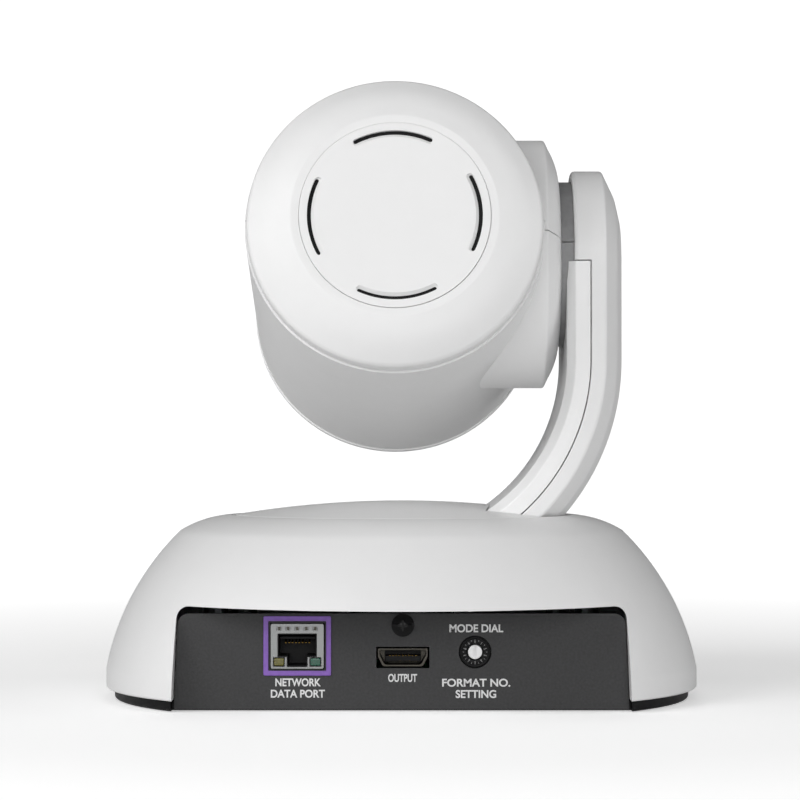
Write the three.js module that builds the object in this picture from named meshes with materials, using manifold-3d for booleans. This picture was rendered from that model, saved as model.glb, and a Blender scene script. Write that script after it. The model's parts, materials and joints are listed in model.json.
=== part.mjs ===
// A desk-standing pan, tilt and zoom camera: a domed round base, a turntable with one side arm,
// and a barrel-shaped head that tilts on the arm.
// Millimetres, +Z up. The origin is on the pan axis at the plane the camera stands on.
// The lens looks along +Y at zero pan, the socket panel faces -Y, the arm stands at +X.

import * as THREE from "three";
import { mergeVertices } from "three/addons/utils/BufferGeometryUtils.js";
import Module from "manifold-3d";

const wasm = await Module();
wasm.setup();

// ---- Driving dimensions ----------------------------------------------------------------

const GAP = 0.3; // between pieces that rest on or sit in each other
const RUNNING_GAP = 0.4; // between pieces that turn or slide in each other
const FINE_TURN = 48; // facets round the base
const TURN = 40; // facets round the head and the arm's round top
const INNER_TURN = 24; // facets round bearings, shafts and hubs
const SMALL_TURN = 16; // facets round screws and small round pieces
const ROD_TURN = 12; // facets round posts and thin shafts
const PAST = 1; // a cutter reaches this far beyond what it cuts
const FAR = 400; // and this far where only one of its faces matters

// Base
const plateThickness = 3.2;
const plateEdge = 1; // bevel round the plate's foot
const plateInset = 2.7; // the plate's edge lies this far inside the shell's rim
const rimRadius = 94.7;
const rimTop = 9.5; // the shell is upright up to here
const domeFlare = 22.7; // from the crease out to the rim
const creaseHeight = 52.4;
const domeArcRadius = 82;
const shellWall = 2.6;
const lipHeight = 58.3;
const openingFootHalfWidth = 69.7;
const openingTopHalfWidth = 68.4;
const openingTop = 31.9;
const openingCorner = 4;
const linerWall = 2.2;
const linerLap = 3; // the opening's lining reaches this far behind the panel
const panelThickness = 1.2;
const panelTop = 29.5;
const panelFoot = 0.4;
const panelFlange = 9;
const panelCorner = 3;
const panelFlangeInset = 12; // from the panel's sides to its folded foot
const footPadRadius = 7;
const footPadDepth = 1.4;
const footPadInset = 15;
const insert = { radius: 5.5, forward: 32, flange: 3, bore: 3.1, foot: 0.5 };
const insertFlangeThickness = 2;
const insertStand = 7; // above the plate

// Panel sockets: places along X and Z, sizes across and up
const board = { halfWidth: 54, depth: 40, top: 12.5, thickness: 1.6, set: 1 };
const jack = { x: -31.75, width: 16.1, height: 13.6, depth: 21, proud: 0.8 };
const jackMouth = { width: 12, height: 7.2, top: 2.9, depth: 13 };
const jackLatch = { width: 6.4, height: 3 };
const jackFrame = { line: 1.5, margin: 0.75, proud: 0.3 };
const jackLight = { width: 3.1, height: 2.3, depth: 5 };
const video = { x: 0.4, width: 15.2, height: 5.5, wall: 0.55, depth: 11, corner: 1.5, lift: 0.9 };
const videoHoleGap = 0.5;
const videoTongue = { width: 10.5, height: 1.6, drop: 0.35 };
const dial = { x: 22.4, z: 17.8, bodySize: 10, bodyDepth: 7, faceRadius: 4.7, rotorRadius: 2.15 };
const dialSlot = { width: 0.7, depth: 0.9 };
const screw = { x: 0.4, z: 26, headRadius: 3.45, headHeight: 1.9, shankRadius: 1.5, length: 7 };

// Pan drive inside the base
const deck = { radius: 67, top: 40.5, thickness: 2.4 };
const post = { radius: 4, circle: 60 };
const postAngles = [-8, 30, 150, 188];
const panHub = { radius: 12, bore: 7, foot: 31 };
const panFrameThickness = 3.6;
const panFrameInset = 3.3;
const panBearingWall = 4.2;
const panBearingHeight = 5;
const gearModule = 1;
const panGearTeeth = 60;
const panPinionTeeth = 15;
const panGearFoot = 43.2;
const panGearWidth = 4;
const panMotor = { size: 35, height: 22 };
const panShaftRadius = 2.5;

// Turntable and arm
const turntableThickness = 2.2;
const turntableCrown = 4.4;
const turntableRimGap = 0.8;
const armFootInset = 18.3; // how far the arm's outer face leans in from its top to the turntable
const armFootMargin = 0.1; // from the foot's corners to the turntable's edge
const armThickness = 18.1;
const armHeadGap = 1.7; // from the drum's face to the arm
const armRimWall = 2.2; // round the neck's seat
const armBendBelowPinion = 1.3; // the arm starts to curve in this far below the tilt pinion
const armWall = 2.6;
const armOuterChamfer = { across: 16.5, deep: 6 };
const armInnerChamfer = { across: 4, deep: 2.5 };
const armSeam = 7.5; // the cover's share of the arm's thickness
const armRimSet = 2.3; // the round top starts this far out from the arm's inner face
const coverTopLift = -0.4;

// Tilt drive
const tiltHeight = 138.8;
const neck = { length: 5.5, step: 1.1 }; // of the head's drum, turning in the arm
const bearingPlateThickness = 2.2;
const tiltGearClearance = 0.7; // round the gear in the arm's chamber
const tiltBearing = { outer: 13, height: 2.4 };
const tiltShaft = { radius: 8.5, bore: 5.5, flangeRadius: 14, flangeThickness: 2.5 };
const tiltGearTeeth = 48;
const tiltPinionTeeth = 12;
const tiltPinionShaft = 1.5;
const tiltGearWidth = 2.2;
const tiltMotor = { radius: 11.5, thickness: 4.2 };

// Head, in its own frame: origin on the tilt axis, lens along +Y
const restTilt = 12.5; // degrees, lens down
const barrelX = -2;
const barrelZ = -2;
const barrelRearRadius = 46.1;
const barrelFrontRadius = 47;
const barrelFront = 55;
const capSeam = -50.4;
const capRim = -55;
const capRadius = 45.6;
const capFace = -64;
const capCorner = 3;
const headWall = 2.4;
const seamGap = 0.4;
const bossRadius = 39.9;
const bossCorner = 0.9;
const bossCrown = 4.7;
const bossStand = 0.6; // the drum's rim stands this far past the barrel's side
const discRadius = 29.1;
const discThickness = 2;
const vent = { radius: 25.6, width: 2.1, halfSpan: 26, roll: 1.5, count: 4 };
const bezel = { proud: 0.5, length: 3.2, inner: 38.5 };
const windowThickness = 1.8;
const lensTube = { radius: 22, bore: 19, foot: 2, flangeRadius: 23.5, flangeThickness: 2 };
const frontGlass = { radius: 18.6, edge: 2.4, crown: 3, set: 7 };
const zoomGroup = { place: 33, edge: 3, radius: 18.4, crown: 1.6 };
const focusGroup = { place: 12, edge: 2.4, radius: 18.4, crown: 1.2 };
const sensorBoard = { size: 36, thickness: 1.6, gap: 3 };
const sensor = { width: 11, height: 8, thickness: 1.1 };
const bracket = { thickness: 1.8, sideX: 29, back: -24, front: 34, top: 22 };
const videoBoard = { width: 52, height: 44, thickness: 1.6, place: -44 };

// Front of the base
const irWindow = { width: 34, height: 10, z: 24, proud: 0.4 };
const statusLight = { radius: 1.9, x: 24 };

// ---- Worked-out dimensions ---------------------------------------------------------------

const shellFoot = plateThickness + GAP;
const plateRadius = rimRadius - plateInset;
const creaseRadius = rimRadius - domeFlare;
const bossRim = barrelX + barrelFrontRadius + bossStand;
const neckFoot = bossRim + bossCrown;
const neckEnd = neckFoot + neck.length;
const tiltGearRadius = (gearModule * tiltGearTeeth) / 2;
const tiltPinionRadius = (gearModule * tiltPinionTeeth) / 2;
const tiltPinionZ = tiltHeight - tiltGearRadius - tiltPinionRadius;
const gearAddendum = 0.7 * gearModule;
const chamberRadius = tiltGearRadius + gearAddendum + tiltGearClearance;
const neckRadius = chamberRadius + neck.step;
const seatRadius = neckRadius + GAP;
const armHalfWidth = seatRadius + armRimWall;
const armBendHeight = tiltPinionZ - armBendBelowPinion;
const armInner = neckFoot + armHeadGap;
const armOuter = armInner + armThickness;
const armMiddle = (armInner + armOuter) / 2;
const footOuter = armOuter - armFootInset;
const turntableFoot = lipHeight - 2;
const panFrameTop = turntableFoot - GAP;
const armRimInner = armInner + armRimSet;
// The outer face bends on the arc that is upright at armBendHeight and reaches the turntable
// at footOuter.
const armDrop = armBendHeight - lipHeight;
const armOuterBend = (armDrop ** 2 + armFootInset ** 2) / (2 * armFootInset);
const armBendCentre = armOuter - armOuterBend;
const armShoulderBend = armOuterBend - armOuterChamfer.deep;
const footShoulder = armBendCentre + Math.sqrt(armShoulderBend ** 2 - armDrop ** 2);
const chamferHalf = armHalfWidth - armOuterChamfer.across;
const footReach = Math.max(
  Math.hypot(footShoulder, armHalfWidth),
  Math.hypot(footOuter, chamferHalf),
);
const turntableRadius = footReach + armFootMargin;
const lipRadius = turntableRadius + turntableRimGap;
const panGearRadius = (gearModule * panGearTeeth) / 2;
const panPinionRadius = (gearModule * panPinionTeeth) / 2;
const panPinionY = panGearRadius + panPinionRadius;
const bearingPlateInner = neckEnd + RUNNING_GAP + 0.1;
const tiltBearingInner = bearingPlateInner + 0.2;
const tiltGearInner = tiltBearingInner + tiltBearing.height + RUNNING_GAP;
const tiltGearOuter = tiltGearInner + tiltGearWidth;

// ---- Geometry to solids ------------------------------------------------------------------

const X = new THREE.Vector3(1, 0, 0);
const Y = new THREE.Vector3(0, 1, 0);
const Z = new THREE.Vector3(0, 0, 1);
const ALONG = {
  x: new THREE.Matrix4().makeBasis(Y, Z, X),
  y: new THREE.Matrix4().makeBasis(X, Z, Y),
  z: new THREE.Matrix4(),
};
const AROUND = {
  x: new THREE.Matrix4().makeBasis(Y, X, Z),
  y: new THREE.Matrix4(),
  z: new THREE.Matrix4().makeBasis(X, Z, Y),
};

function signedVolume(position, index) {
  const a = new THREE.Vector3();
  const b = new THREE.Vector3();
  const c = new THREE.Vector3();
  let sum = 0;
  for (let i = 0; i < index.length; i += 3) {
    a.fromBufferAttribute(position, index[i]);
    b.fromBufferAttribute(position, index[i + 1]);
    c.fromBufferAttribute(position, index[i + 2]);
    sum += a.dot(b.cross(c));
  }
  return sum / 6;
}

// A closed three.js geometry as a solid whose faces point out.
function solid(geometry) {
  const bare = geometry.clone();
  bare.deleteAttribute("normal");
  bare.deleteAttribute("uv");
  const merged = mergeVertices(bare, 1e-5);
  const position = merged.getAttribute("position");
  const index = Uint32Array.from(merged.getIndex().array);
  if (signedVolume(position, index) < 0) {
    index.reverse();
  }
  const mesh = new wasm.Mesh({
    numProp: 3,
    vertProperties: Float32Array.from(position.array),
    triVerts: index,
  });
  return new wasm.Manifold(mesh);
}

function geometryOf(manifold) {
  const mesh = manifold.getMesh();
  const geometry = new THREE.BufferGeometry();
  geometry.setAttribute("position", new THREE.BufferAttribute(mesh.vertProperties, 3));
  geometry.setIndex(new THREE.BufferAttribute(mesh.triVerts, 1));
  geometry.computeVertexNormals();
  return geometry;
}

function box(x0, x1, y0, y1, z0, z1) {
  const geometry = new THREE.BoxGeometry(x1 - x0, y1 - y0, z1 - z0);
  geometry.translate((x0 + x1) / 2, (y0 + y1) / 2, (z0 + z1) / 2);
  return solid(geometry);
}

// An outline pushed along an axis from one place to another. The outline's own axes are
// X and Z along y, Y and Z along x, X and Y along z.
function prism(axis, shape, from, to) {
  const geometry = new THREE.ExtrudeGeometry(shape, {
    depth: to - from,
    bevelEnabled: false,
    curveSegments: 6,
  });
  geometry.translate(0, 0, from);
  geometry.applyMatrix4(ALONG[axis]);
  return solid(geometry);
}

// A closed profile of [radius, place along the axis] turned about an axis.
function turned(axis, profile, facets) {
  const points = profile.map(([radius, place]) => new THREE.Vector2(radius, place));
  const geometry = new THREE.LatheGeometry([...points, points[0]], facets);
  geometry.applyMatrix4(AROUND[axis]);
  return solid(geometry);
}

function ring(axis, inner, outer, from, to, facets) {
  return turned(
    axis,
    [
      [inner, from],
      [outer, from],
      [outer, to],
      [inner, to],
    ],
    facets,
  );
}

function disc(axis, radius, from, to, facets) {
  return ring(axis, 0, radius, from, to, facets);
}

function polygon(points) {
  return new THREE.Shape(points.map(([x, y]) => new THREE.Vector2(x, y)));
}

function rectangle(width, height, corner) {
  const shape = new THREE.Shape();
  const w = width / 2;
  const h = height / 2;
  shape.moveTo(-w + corner, -h);
  shape.lineTo(w - corner, -h);
  shape.absarc(w - corner, -h + corner, corner, -Math.PI / 2, 0);
  shape.absarc(w - corner, h - corner, corner, 0, Math.PI / 2);
  shape.absarc(-w + corner, h - corner, corner, Math.PI / 2, Math.PI);
  shape.absarc(-w + corner, -h + corner, corner, Math.PI, 1.5 * Math.PI);
  return shape;
}

// Points of a circular arc between two profile points, bulging to the right of the way there.
function arcBetween([r0, z0], [r1, z1], radius, steps) {
  const half = Math.hypot(r1 - r0, z1 - z0) / 2;
  const sagitta = Math.sqrt(radius ** 2 - half ** 2);
  const along = [(r1 - r0) / (2 * half), (z1 - z0) / (2 * half)];
  const centre = [(r0 + r1) / 2 - along[1] * sagitta, (z0 + z1) / 2 + along[0] * sagitta];
  const start = Math.atan2(z0 - centre[1], r0 - centre[0]);
  const end = Math.atan2(z1 - centre[1], r1 - centre[0]);
  return Array.from({ length: steps + 1 }, (_, i) => {
    const angle = start + ((end - start) * i) / steps;
    return [centre[0] + radius * Math.cos(angle), centre[1] + radius * Math.sin(angle)];
  });
}

// The same open profile moved to its left by a wall's thickness.
function inset(profile, wall) {
  return profile.map(([r, z], i) => {
    const [ra, za] = profile[Math.max(i - 1, 0)];
    const [rb, zb] = profile[Math.min(i + 1, profile.length - 1)];
    const length = Math.hypot(rb - ra, zb - za);
    return [r - ((zb - za) / length) * wall, z + ((rb - ra) / length) * wall];
  });
}

// ---- The model ---------------------------------------------------------------------------

const model = new THREE.Group();
const head = new THREE.Group();
head.position.set(0, 0, tiltHeight);
head.rotation.x = THREE.MathUtils.degToRad(-restTilt);
model.add(head);

const FINISHES = {
  whiteShell: { color: "#E9EAEC", roughness: 0.45, metalness: 0 },
  whiteTrim: { color: "#F1F2F3", roughness: 0.4, metalness: 0 },
  blackPlastic: { color: "#1B1B1D", roughness: 0.5, metalness: 0 },
  darkPanel: { color: "#3E3E40", roughness: 0.7, metalness: 0.2 },
  rubber: { color: "#222222", roughness: 0.9, metalness: 0 },
  purple: { color: "#8A63B8", roughness: 0.5, metalness: 0 },
  plated: { color: "#B8B9BB", roughness: 0.3, metalness: 1 },
  steel: { color: "#8E9296", roughness: 0.4, metalness: 1 },
  brass: { color: "#B5964A", roughness: 0.35, metalness: 1 },
  boardGreen: { color: "#1F5A35", roughness: 0.6, metalness: 0 },
  nylon: { color: "#DAD7CC", roughness: 0.55, metalness: 0 },
  glass: { color: "#20242B", roughness: 0.05, metalness: 0 },
  amber: { color: "#E0A020", roughness: 0.3, metalness: 0 },
  green: { color: "#3FAE49", roughness: 0.3, metalness: 0 },
};

function node(group, name, shape, finish) {
  const mesh = new THREE.Mesh(geometryOf(shape), new THREE.MeshStandardMaterial(FINISHES[finish]));
  mesh.name = name;
  group.add(mesh);
}

// ---- Base shell --------------------------------------------------------------------------

const domeProfile = arcBetween([rimRadius, rimTop], [creaseRadius, creaseHeight], domeArcRadius, 5);
const shoulderProfile = [
  [creaseRadius - 1, creaseHeight + 0.8],
  [(creaseRadius + lipRadius) / 2, (creaseHeight + lipHeight) / 2 + 1.1],
  [lipRadius, lipHeight],
];
const shellOuterProfile = [[rimRadius, shellFoot], ...domeProfile, ...shoulderProfile];

function domeRadiusAt(height) {
  const above = shellOuterProfile.findIndex(([, z]) => z >= height);
  const [r0, z0] = shellOuterProfile[above - 1];
  const [r1, z1] = shellOuterProfile[above];
  return r0 + ((r1 - r0) * (height - z0)) / (z1 - z0);
}

const panelCornerRadius = domeRadiusAt(panelTop);
const panelFront = -Math.sqrt(panelCornerRadius ** 2 - openingTopHalfWidth ** 2) + GAP;
const panelBack = panelFront + panelThickness;

function openingShape(grow) {
  const foot = openingFootHalfWidth + grow;
  const top = openingTopHalfWidth + grow;
  const roof = openingTop + grow;
  const round = openingCorner + grow;
  const shape = new THREE.Shape();
  shape.moveTo(-foot, -1);
  shape.lineTo(foot, -1);
  shape.lineTo(top, roof - round);
  shape.absarc(top - round, roof - round, round, 0, Math.PI / 2);
  shape.absarc(-top + round, roof - round, round, Math.PI / 2, Math.PI);
  return shape;
}

function baseShell() {
  const innerProfile = inset(shellOuterProfile, shellWall);
  innerProfile[0] = [rimRadius - shellWall, shellFoot];
  innerProfile[innerProfile.length - 1] = [lipRadius, lipHeight - shellWall];
  const wall = turned("z", [...shellOuterProfile, ...innerProfile.reverse()], FINE_TURN);
  const full = turned("z", [...shellOuterProfile, [0, lipHeight], [0, shellFoot]], FINE_TURN);
  const behind = -rimRadius - PAST;
  const linerBack = panelBack + linerLap;
  const liner = full
    .intersect(prism("y", openingShape(linerWall), behind, linerBack))
    .intersect(box(-rimRadius, rimRadius, behind, linerBack, shellFoot, lipHeight));
  const opening = prism("y", openingShape(0), behind, linerBack + PAST);
  const windowHole = prism("y", irShape(GAP), rimRadius / 2, rimRadius + PAST);
  const lightHole = lightPlug(statusLight.radius + GAP);
  return wall.add(liner).subtract(opening).subtract(windowHole).subtract(lightHole);
}

function lightPlug(radius) {
  return disc("y", radius, rimRadius / 2, rimRadius + PAST, SMALL_TURN)
    .translate([statusLight.x, 0, irWindow.z]);
}

function irShape(grow) {
  const height = irWindow.height + 2 * grow;
  const shape = rectangle(irWindow.width + 2 * grow, height, height / 2 - 0.01);
  const points = shape.getPoints(3).map((p) => [p.x, p.y + irWindow.z]);
  return polygon(points);
}

// The part of a plug that fills the shell's wall and stands a little proud of it.
function throughWall(plug) {
  const outer = shellOuterProfile.map(([r, z]) => [r + irWindow.proud, z]);
  const inner = inset(shellOuterProfile, shellWall).reverse();
  return plug.intersect(turned("z", [...outer, ...inner], FINE_TURN));
}

node(model, "base_shell", baseShell(), "whiteShell");
node(
  model,
  "ir_window",
  throughWall(prism("y", irShape(0), rimRadius / 2, rimRadius + PAST)),
  "glass",
);
node(model, "status_light", throughWall(lightPlug(statusLight.radius)), "green");

// ---- Base plate, pads and tripod insert ---------------------------------------------------

const footPadCircle = plateRadius - footPadInset;
const footPadPlaces = [40, 140, 215, 325].map((degrees) => {
  const angle = THREE.MathUtils.degToRad(degrees);
  return [footPadCircle * Math.cos(angle), footPadCircle * Math.sin(angle), 0];
});

function basePlate() {
  let plate = turned(
    "z",
    [
      [0, 0],
      [plateRadius - plateEdge, 0],
      [plateRadius, plateEdge],
      [plateRadius, plateThickness],
      [0, plateThickness],
    ],
    FINE_TURN,
  );
  const width = openingFootHalfWidth + GAP;
  plate = plate.subtract(
    box(-width, width, -plateRadius - PAST, panelBack + GAP, -PAST, plateThickness + PAST),
  );
  for (const place of footPadPlaces) {
    const pocket = disc("z", footPadRadius + GAP, -PAST, footPadDepth + GAP, SMALL_TURN);
    plate = plate.subtract(pocket.translate(place));
  }
  const hole = disc("z", insert.radius + GAP, -PAST, plateThickness + PAST, SMALL_TURN);
  return plate.subtract(hole.translate([0, insert.forward, 0]));
}

node(model, "base_plate", basePlate(), "blackPlastic");
footPadPlaces.forEach((place, i) => {
  const pad = disc("z", footPadRadius, 0, footPadDepth, SMALL_TURN).translate(place);
  node(model, `foot_pad_${i + 1}`, pad, "rubber");
});

function tripodInsert() {
  const seat = plateThickness + GAP;
  const top = plateThickness + insertStand;
  const flangeRadius = insert.radius + insert.flange;
  const flange = disc("z", flangeRadius, seat, seat + insertFlangeThickness, SMALL_TURN);
  const barrel = disc("z", insert.radius, insert.foot, top, SMALL_TURN);
  const thread = disc("z", insert.bore, -PAST, top - 1.5, SMALL_TURN);
  return barrel.add(flange).subtract(thread).translate([0, insert.forward, 0]);
}

node(model, "tripod_insert", tripodInsert(), "brass");

// ---- Rear panel and what is set in it ------------------------------------------------------

const boardTop = board.top;
const jackBottom = boardTop + GAP;
const jackTop = jackBottom + jack.height;
const videoBottom = boardTop + video.lift;
const videoMiddle = videoBottom + video.height / 2;
const jackFront = panelFront - jack.proud;

function rearPanel() {
  const slope = (openingFootHalfWidth - openingTopHalfWidth) / (openingTop - openingCorner);
  const foot = openingFootHalfWidth - GAP;
  const top = foot - slope * panelTop;
  const face = polygon([
    [-foot, panelFoot],
    [foot, panelFoot],
    [top, panelTop - panelCorner],
    [top - panelCorner, panelTop],
    [-top + panelCorner, panelTop],
    [-top, panelTop - panelCorner],
  ]);
  const flangeFoot = plateThickness + GAP;
  const flangeHalf = foot - panelFlangeInset;
  const jackHole = box(
    jack.x - jack.width / 2 - GAP,
    jack.x + jack.width / 2 + GAP,
    panelFront - PAST,
    panelBack + PAST,
    jackBottom - GAP,
    jackTop + GAP,
  );
  const videoHole = box(
    video.x - video.width / 2 - videoHoleGap,
    video.x + video.width / 2 + videoHoleGap,
    panelFront - PAST,
    panelBack + PAST,
    videoBottom - videoHoleGap,
    videoBottom + video.height + videoHoleGap,
  );
  const through = (radius) => disc("y", radius, panelFront - PAST, panelBack + PAST, SMALL_TURN);
  const dialHole = through(dial.faceRadius + GAP);
  const screwHole = through(screw.shankRadius + GAP);
  return prism("y", face, panelFront, panelBack)
    .add(
      box(
        -flangeHalf,
        flangeHalf,
        panelFront,
        panelBack + panelFlange,
        flangeFoot,
        flangeFoot + panelThickness,
      ),
    )
    .subtract(jackHole)
    .subtract(videoHole)
    .subtract(dialHole.translate([dial.x, 0, dial.z]))
    .subtract(screwHole.translate([screw.x, 0, screw.z]));
}

// The video socket's outline: wide at the top, its lower corners cut off.
function videoOutline(grow) {
  const w = video.width / 2 + grow;
  const h = video.height / 2 + grow;
  const cut = video.corner;
  return polygon([
    [video.x - w + cut, videoMiddle - h],
    [video.x + w - cut, videoMiddle - h],
    [video.x + w, videoMiddle - h + 2 * cut],
    [video.x + w, videoMiddle + h],
    [video.x - w, videoMiddle + h],
    [video.x - w, videoMiddle - h + 2 * cut],
  ]);
}

node(model, "rear_panel", rearPanel(), "darkPanel");

function jackFrameRing() {
  const middle = (jackBottom + jackTop) / 2 + 0.1;
  const front = panelFront - jackFrame.proud - GAP;
  const line = jackFrame.line;
  const w = jack.width / 2 + jackFrame.margin + line;
  const h = jack.height / 2 + jackFrame.margin + line;
  return box(-w, w, front, panelFront - GAP, -h, h)
    .subtract(box(line - w, w - line, front - 1, panelFront + 1, line - h, h - line))
    .translate([jack.x, 0, middle]);
}

node(model, "network_frame", jackFrameRing(), "purple");

const mouthTop = jackTop - jackMouth.top;
const mouthBottom = mouthTop - jackMouth.height;
const lightPlaces = [-1, 1].map((side) => ({
  x: jack.x + side * (jackLatch.width / 2 + 0.8 + jackLight.width / 2),
  z: jackBottom + 0.9 + jackLight.height / 2,
}));

function networkJack() {
  const half = jack.width / 2;
  let body = box(jack.x - half, jack.x + half, jackFront, jackFront + jack.depth, jackBottom, jackTop);
  const back = jackFront + jackMouth.depth;
  const w = jackMouth.width / 2;
  body = body.subtract(box(jack.x - w, jack.x + w, jackFront - PAST, back, mouthBottom, mouthTop));
  const l = jackLatch.width / 2;
  const latchFoot = mouthBottom - jackLatch.height;
  body = body.subtract(box(jack.x - l, jack.x + l, jackFront - PAST, back, latchFoot, mouthTop - 1));
  for (const place of lightPlaces) {
    const lw = jackLight.width / 2 + GAP;
    const lh = jackLight.height / 2 + GAP;
    body = body.subtract(
      box(
        place.x - lw,
        place.x + lw,
        jackFront - PAST,
        jackFront + jackLight.depth + GAP,
        place.z - lh,
        place.z + lh,
      ),
    );
  }
  return body;
}

node(model, "network_jack", networkJack(), "plated");
lightPlaces.forEach((place, i) => {
  const lw = jackLight.width / 2;
  const lh = jackLight.height / 2;
  const light = box(
    place.x - lw,
    place.x + lw,
    jackFront,
    jackFront + jackLight.depth,
    place.z - lh,
    place.z + lh,
  );
  node(model, ["link_light", "data_light"][i], light, ["amber", "green"][i]);
});

const videoFront = panelFront - 0.3;
const videoBack = videoFront + video.depth;
node(
  model,
  "video_socket",
  prism("y", videoOutline(0), videoFront, videoBack).subtract(
    prism("y", videoOutline(-video.wall), videoFront - PAST, videoBack - 1.2),
  ),
  "plated",
);

function videoTonguePiece() {
  const half = videoTongue.width / 2;
  const low = videoMiddle - videoTongue.height / 2 - videoTongue.drop;
  const blockHalf = video.width / 2 - video.wall - video.corner;
  const blockLow = videoMiddle - video.height / 2 + video.wall + GAP;
  const blockHigh = videoMiddle + video.height / 2 - video.wall - GAP;
  const blockBack = videoBack - 1.2 - GAP;
  return box(
    video.x - half,
    video.x + half,
    videoFront + 0.9,
    blockBack - 0.5,
    low,
    low + videoTongue.height,
  ).add(
    box(video.x - blockHalf, video.x + blockHalf, blockBack - 1.5, blockBack, blockLow, blockHigh),
  );
}

node(model, "video_tongue", videoTonguePiece(), "blackPlastic");

const dialFace = panelFront + 0.2;
const dialBore = dial.rotorRadius + RUNNING_GAP;

function dialHousing() {
  const half = dial.bodySize / 2;
  const bodyFront = panelBack + GAP;
  return box(-half, half, bodyFront, bodyFront + dial.bodyDepth, -half, half)
    .add(disc("y", dial.faceRadius, dialFace, bodyFront + 1, SMALL_TURN))
    .subtract(disc("y", dialBore, dialFace - 1, bodyFront + dial.bodyDepth - 1.5, SMALL_TURN))
    .translate([dial.x, 0, dial.z]);
}

function dialRotor() {
  const front = dialFace - 0.3;
  const back = panelBack + dial.bodyDepth - 1.8;
  const slotHalf = dialSlot.width / 2;
  return disc("y", dial.rotorRadius, front, back, SMALL_TURN)
    .subtract(
      box(-slotHalf, slotHalf, front - 1, front + dialSlot.depth, -1.7, 1.7),
    )
    .translate([dial.x, 0, dial.z]);
}

node(model, "dial_housing", dialHousing(), "blackPlastic");
node(model, "dial_rotor", dialRotor(), "whiteTrim");

function panelScrew() {
  const head = panelFront - GAP;
  const tip = head + screw.length;
  const cross = box(-2, 2, head - screw.headHeight - 1, head - 0.8, -0.45, 0.45)
    .add(box(-0.45, 0.45, head - screw.headHeight - 1, head - 0.8, -2, 2));
  return turned(
    "y",
    [
      [0, head - screw.headHeight],
      [screw.headRadius * 0.6, head - screw.headHeight],
      [screw.headRadius, head - screw.headHeight * 0.45],
      [screw.headRadius, head],
      [screw.shankRadius, head],
      [screw.shankRadius, tip],
      [0, tip],
    ],
    SMALL_TURN,
  )
    .subtract(cross)
    .translate([screw.x, 0, screw.z]);
}

node(model, "panel_screw", panelScrew(), "blackPlastic");

const boardFront = panelBack + board.set;
node(
  model,
  "main_board",
  box(
    -board.halfWidth,
    board.halfWidth,
    boardFront,
    Math.min(boardFront + board.depth, -panHub.radius - 2),
    boardTop - board.thickness,
    boardTop,
  ),
  "boardGreen",
);

// ---- Deck, posts and pan drive --------------------------------------------------------------

const deckFoot = deck.top - deck.thickness;
const bearingOuter = panHub.radius + GAP + panBearingWall;
const bearingFoot = deck.top - deck.thickness / 2 - panBearingHeight / 2;

node(
  model,
  "deck_plate",
  disc("z", deck.radius, deckFoot, deck.top, TURN)
    .subtract(disc("z", bearingOuter + GAP, deckFoot - 1, deck.top + 1, INNER_TURN))
    .subtract(
      disc("z", panShaftRadius + 1, deckFoot - 1, deck.top + 1, SMALL_TURN)
        .translate([0, panPinionY, 0]),
    ),
  "steel",
);

postAngles.forEach((degrees, i) => {
  const angle = THREE.MathUtils.degToRad(degrees);
  const place = [post.circle * Math.cos(angle), post.circle * Math.sin(angle), 0];
  const column = disc("z", post.radius, plateThickness + GAP, deckFoot - GAP, ROD_TURN);
  node(model, `deck_post_${i + 1}`, column.translate(place), "steel");
});

node(
  model,
  "pan_bearing",
  ring(
    "z",
    panHub.radius + GAP,
    bearingOuter,
    bearingFoot,
    bearingFoot + panBearingHeight,
    INNER_TURN,
  ),
  "steel",
);

const motorTop = deckFoot - GAP;
node(
  model,
  "pan_motor",
  prism("z", rectangle(panMotor.size, panMotor.size, 4), motorTop - panMotor.height, motorTop)
    .translate([0, panPinionY, 0]),
  "blackPlastic",
);

// A spur gear's outline, with one tooth centred on the given direction.
function gearShape(teeth, direction, flankPoints) {
  const pitch = (gearModule * teeth) / 2;
  const pressure = THREE.MathUtils.degToRad(20);
  const base = pitch * Math.cos(pressure);
  const tip = pitch + gearAddendum;
  const root = pitch - gearModule;
  const backlash = 0.25 * gearModule;
  const involute = (angle) => Math.tan(angle) - angle;
  const halfAngle = (radius) => {
    const pressureThere = Math.acos(Math.min(base / Math.max(radius, base), 1));
    const halfTooth = Math.PI / (2 * teeth) - backlash / (2 * pitch);
    return halfTooth + involute(pressure) - involute(pressureThere);
  };
  const outline = [];
  for (let tooth = 0; tooth < teeth; tooth += 1) {
    const centre = direction + (tooth * 2 * Math.PI) / teeth;
    for (let i = 0; i < 2 * flankPoints; i += 1) {
      const rising = i < flankPoints;
      const share = (rising ? i : 2 * flankPoints - 1 - i) / (flankPoints - 1);
      const radius = root + (tip - root) * share;
      const angle = centre + (rising ? -1 : 1) * halfAngle(radius);
      outline.push([radius * Math.cos(angle), radius * Math.sin(angle)]);
    }
  }
  return polygon(outline);
}

const UP = Math.PI / 2;
const panGearTop = panGearFoot + panGearWidth;
node(
  model,
  "pan_gear",
  prism("z", gearShape(panGearTeeth, UP, 2), panGearFoot, panGearTop).subtract(
    disc("z", panHub.radius + GAP, panGearFoot - 1, panGearTop + 1, INNER_TURN),
  ),
  "nylon",
);

node(
  model,
  "pan_pinion",
  prism(
    "z",
    gearShape(panPinionTeeth, -UP + Math.PI / panPinionTeeth, 3),
    panGearFoot,
    panGearTop,
  )
    .add(disc("z", panShaftRadius, motorTop + GAP, panGearFoot + 1, ROD_TURN))
    .translate([0, panPinionY, 0]),
  "brass",
);

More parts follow.
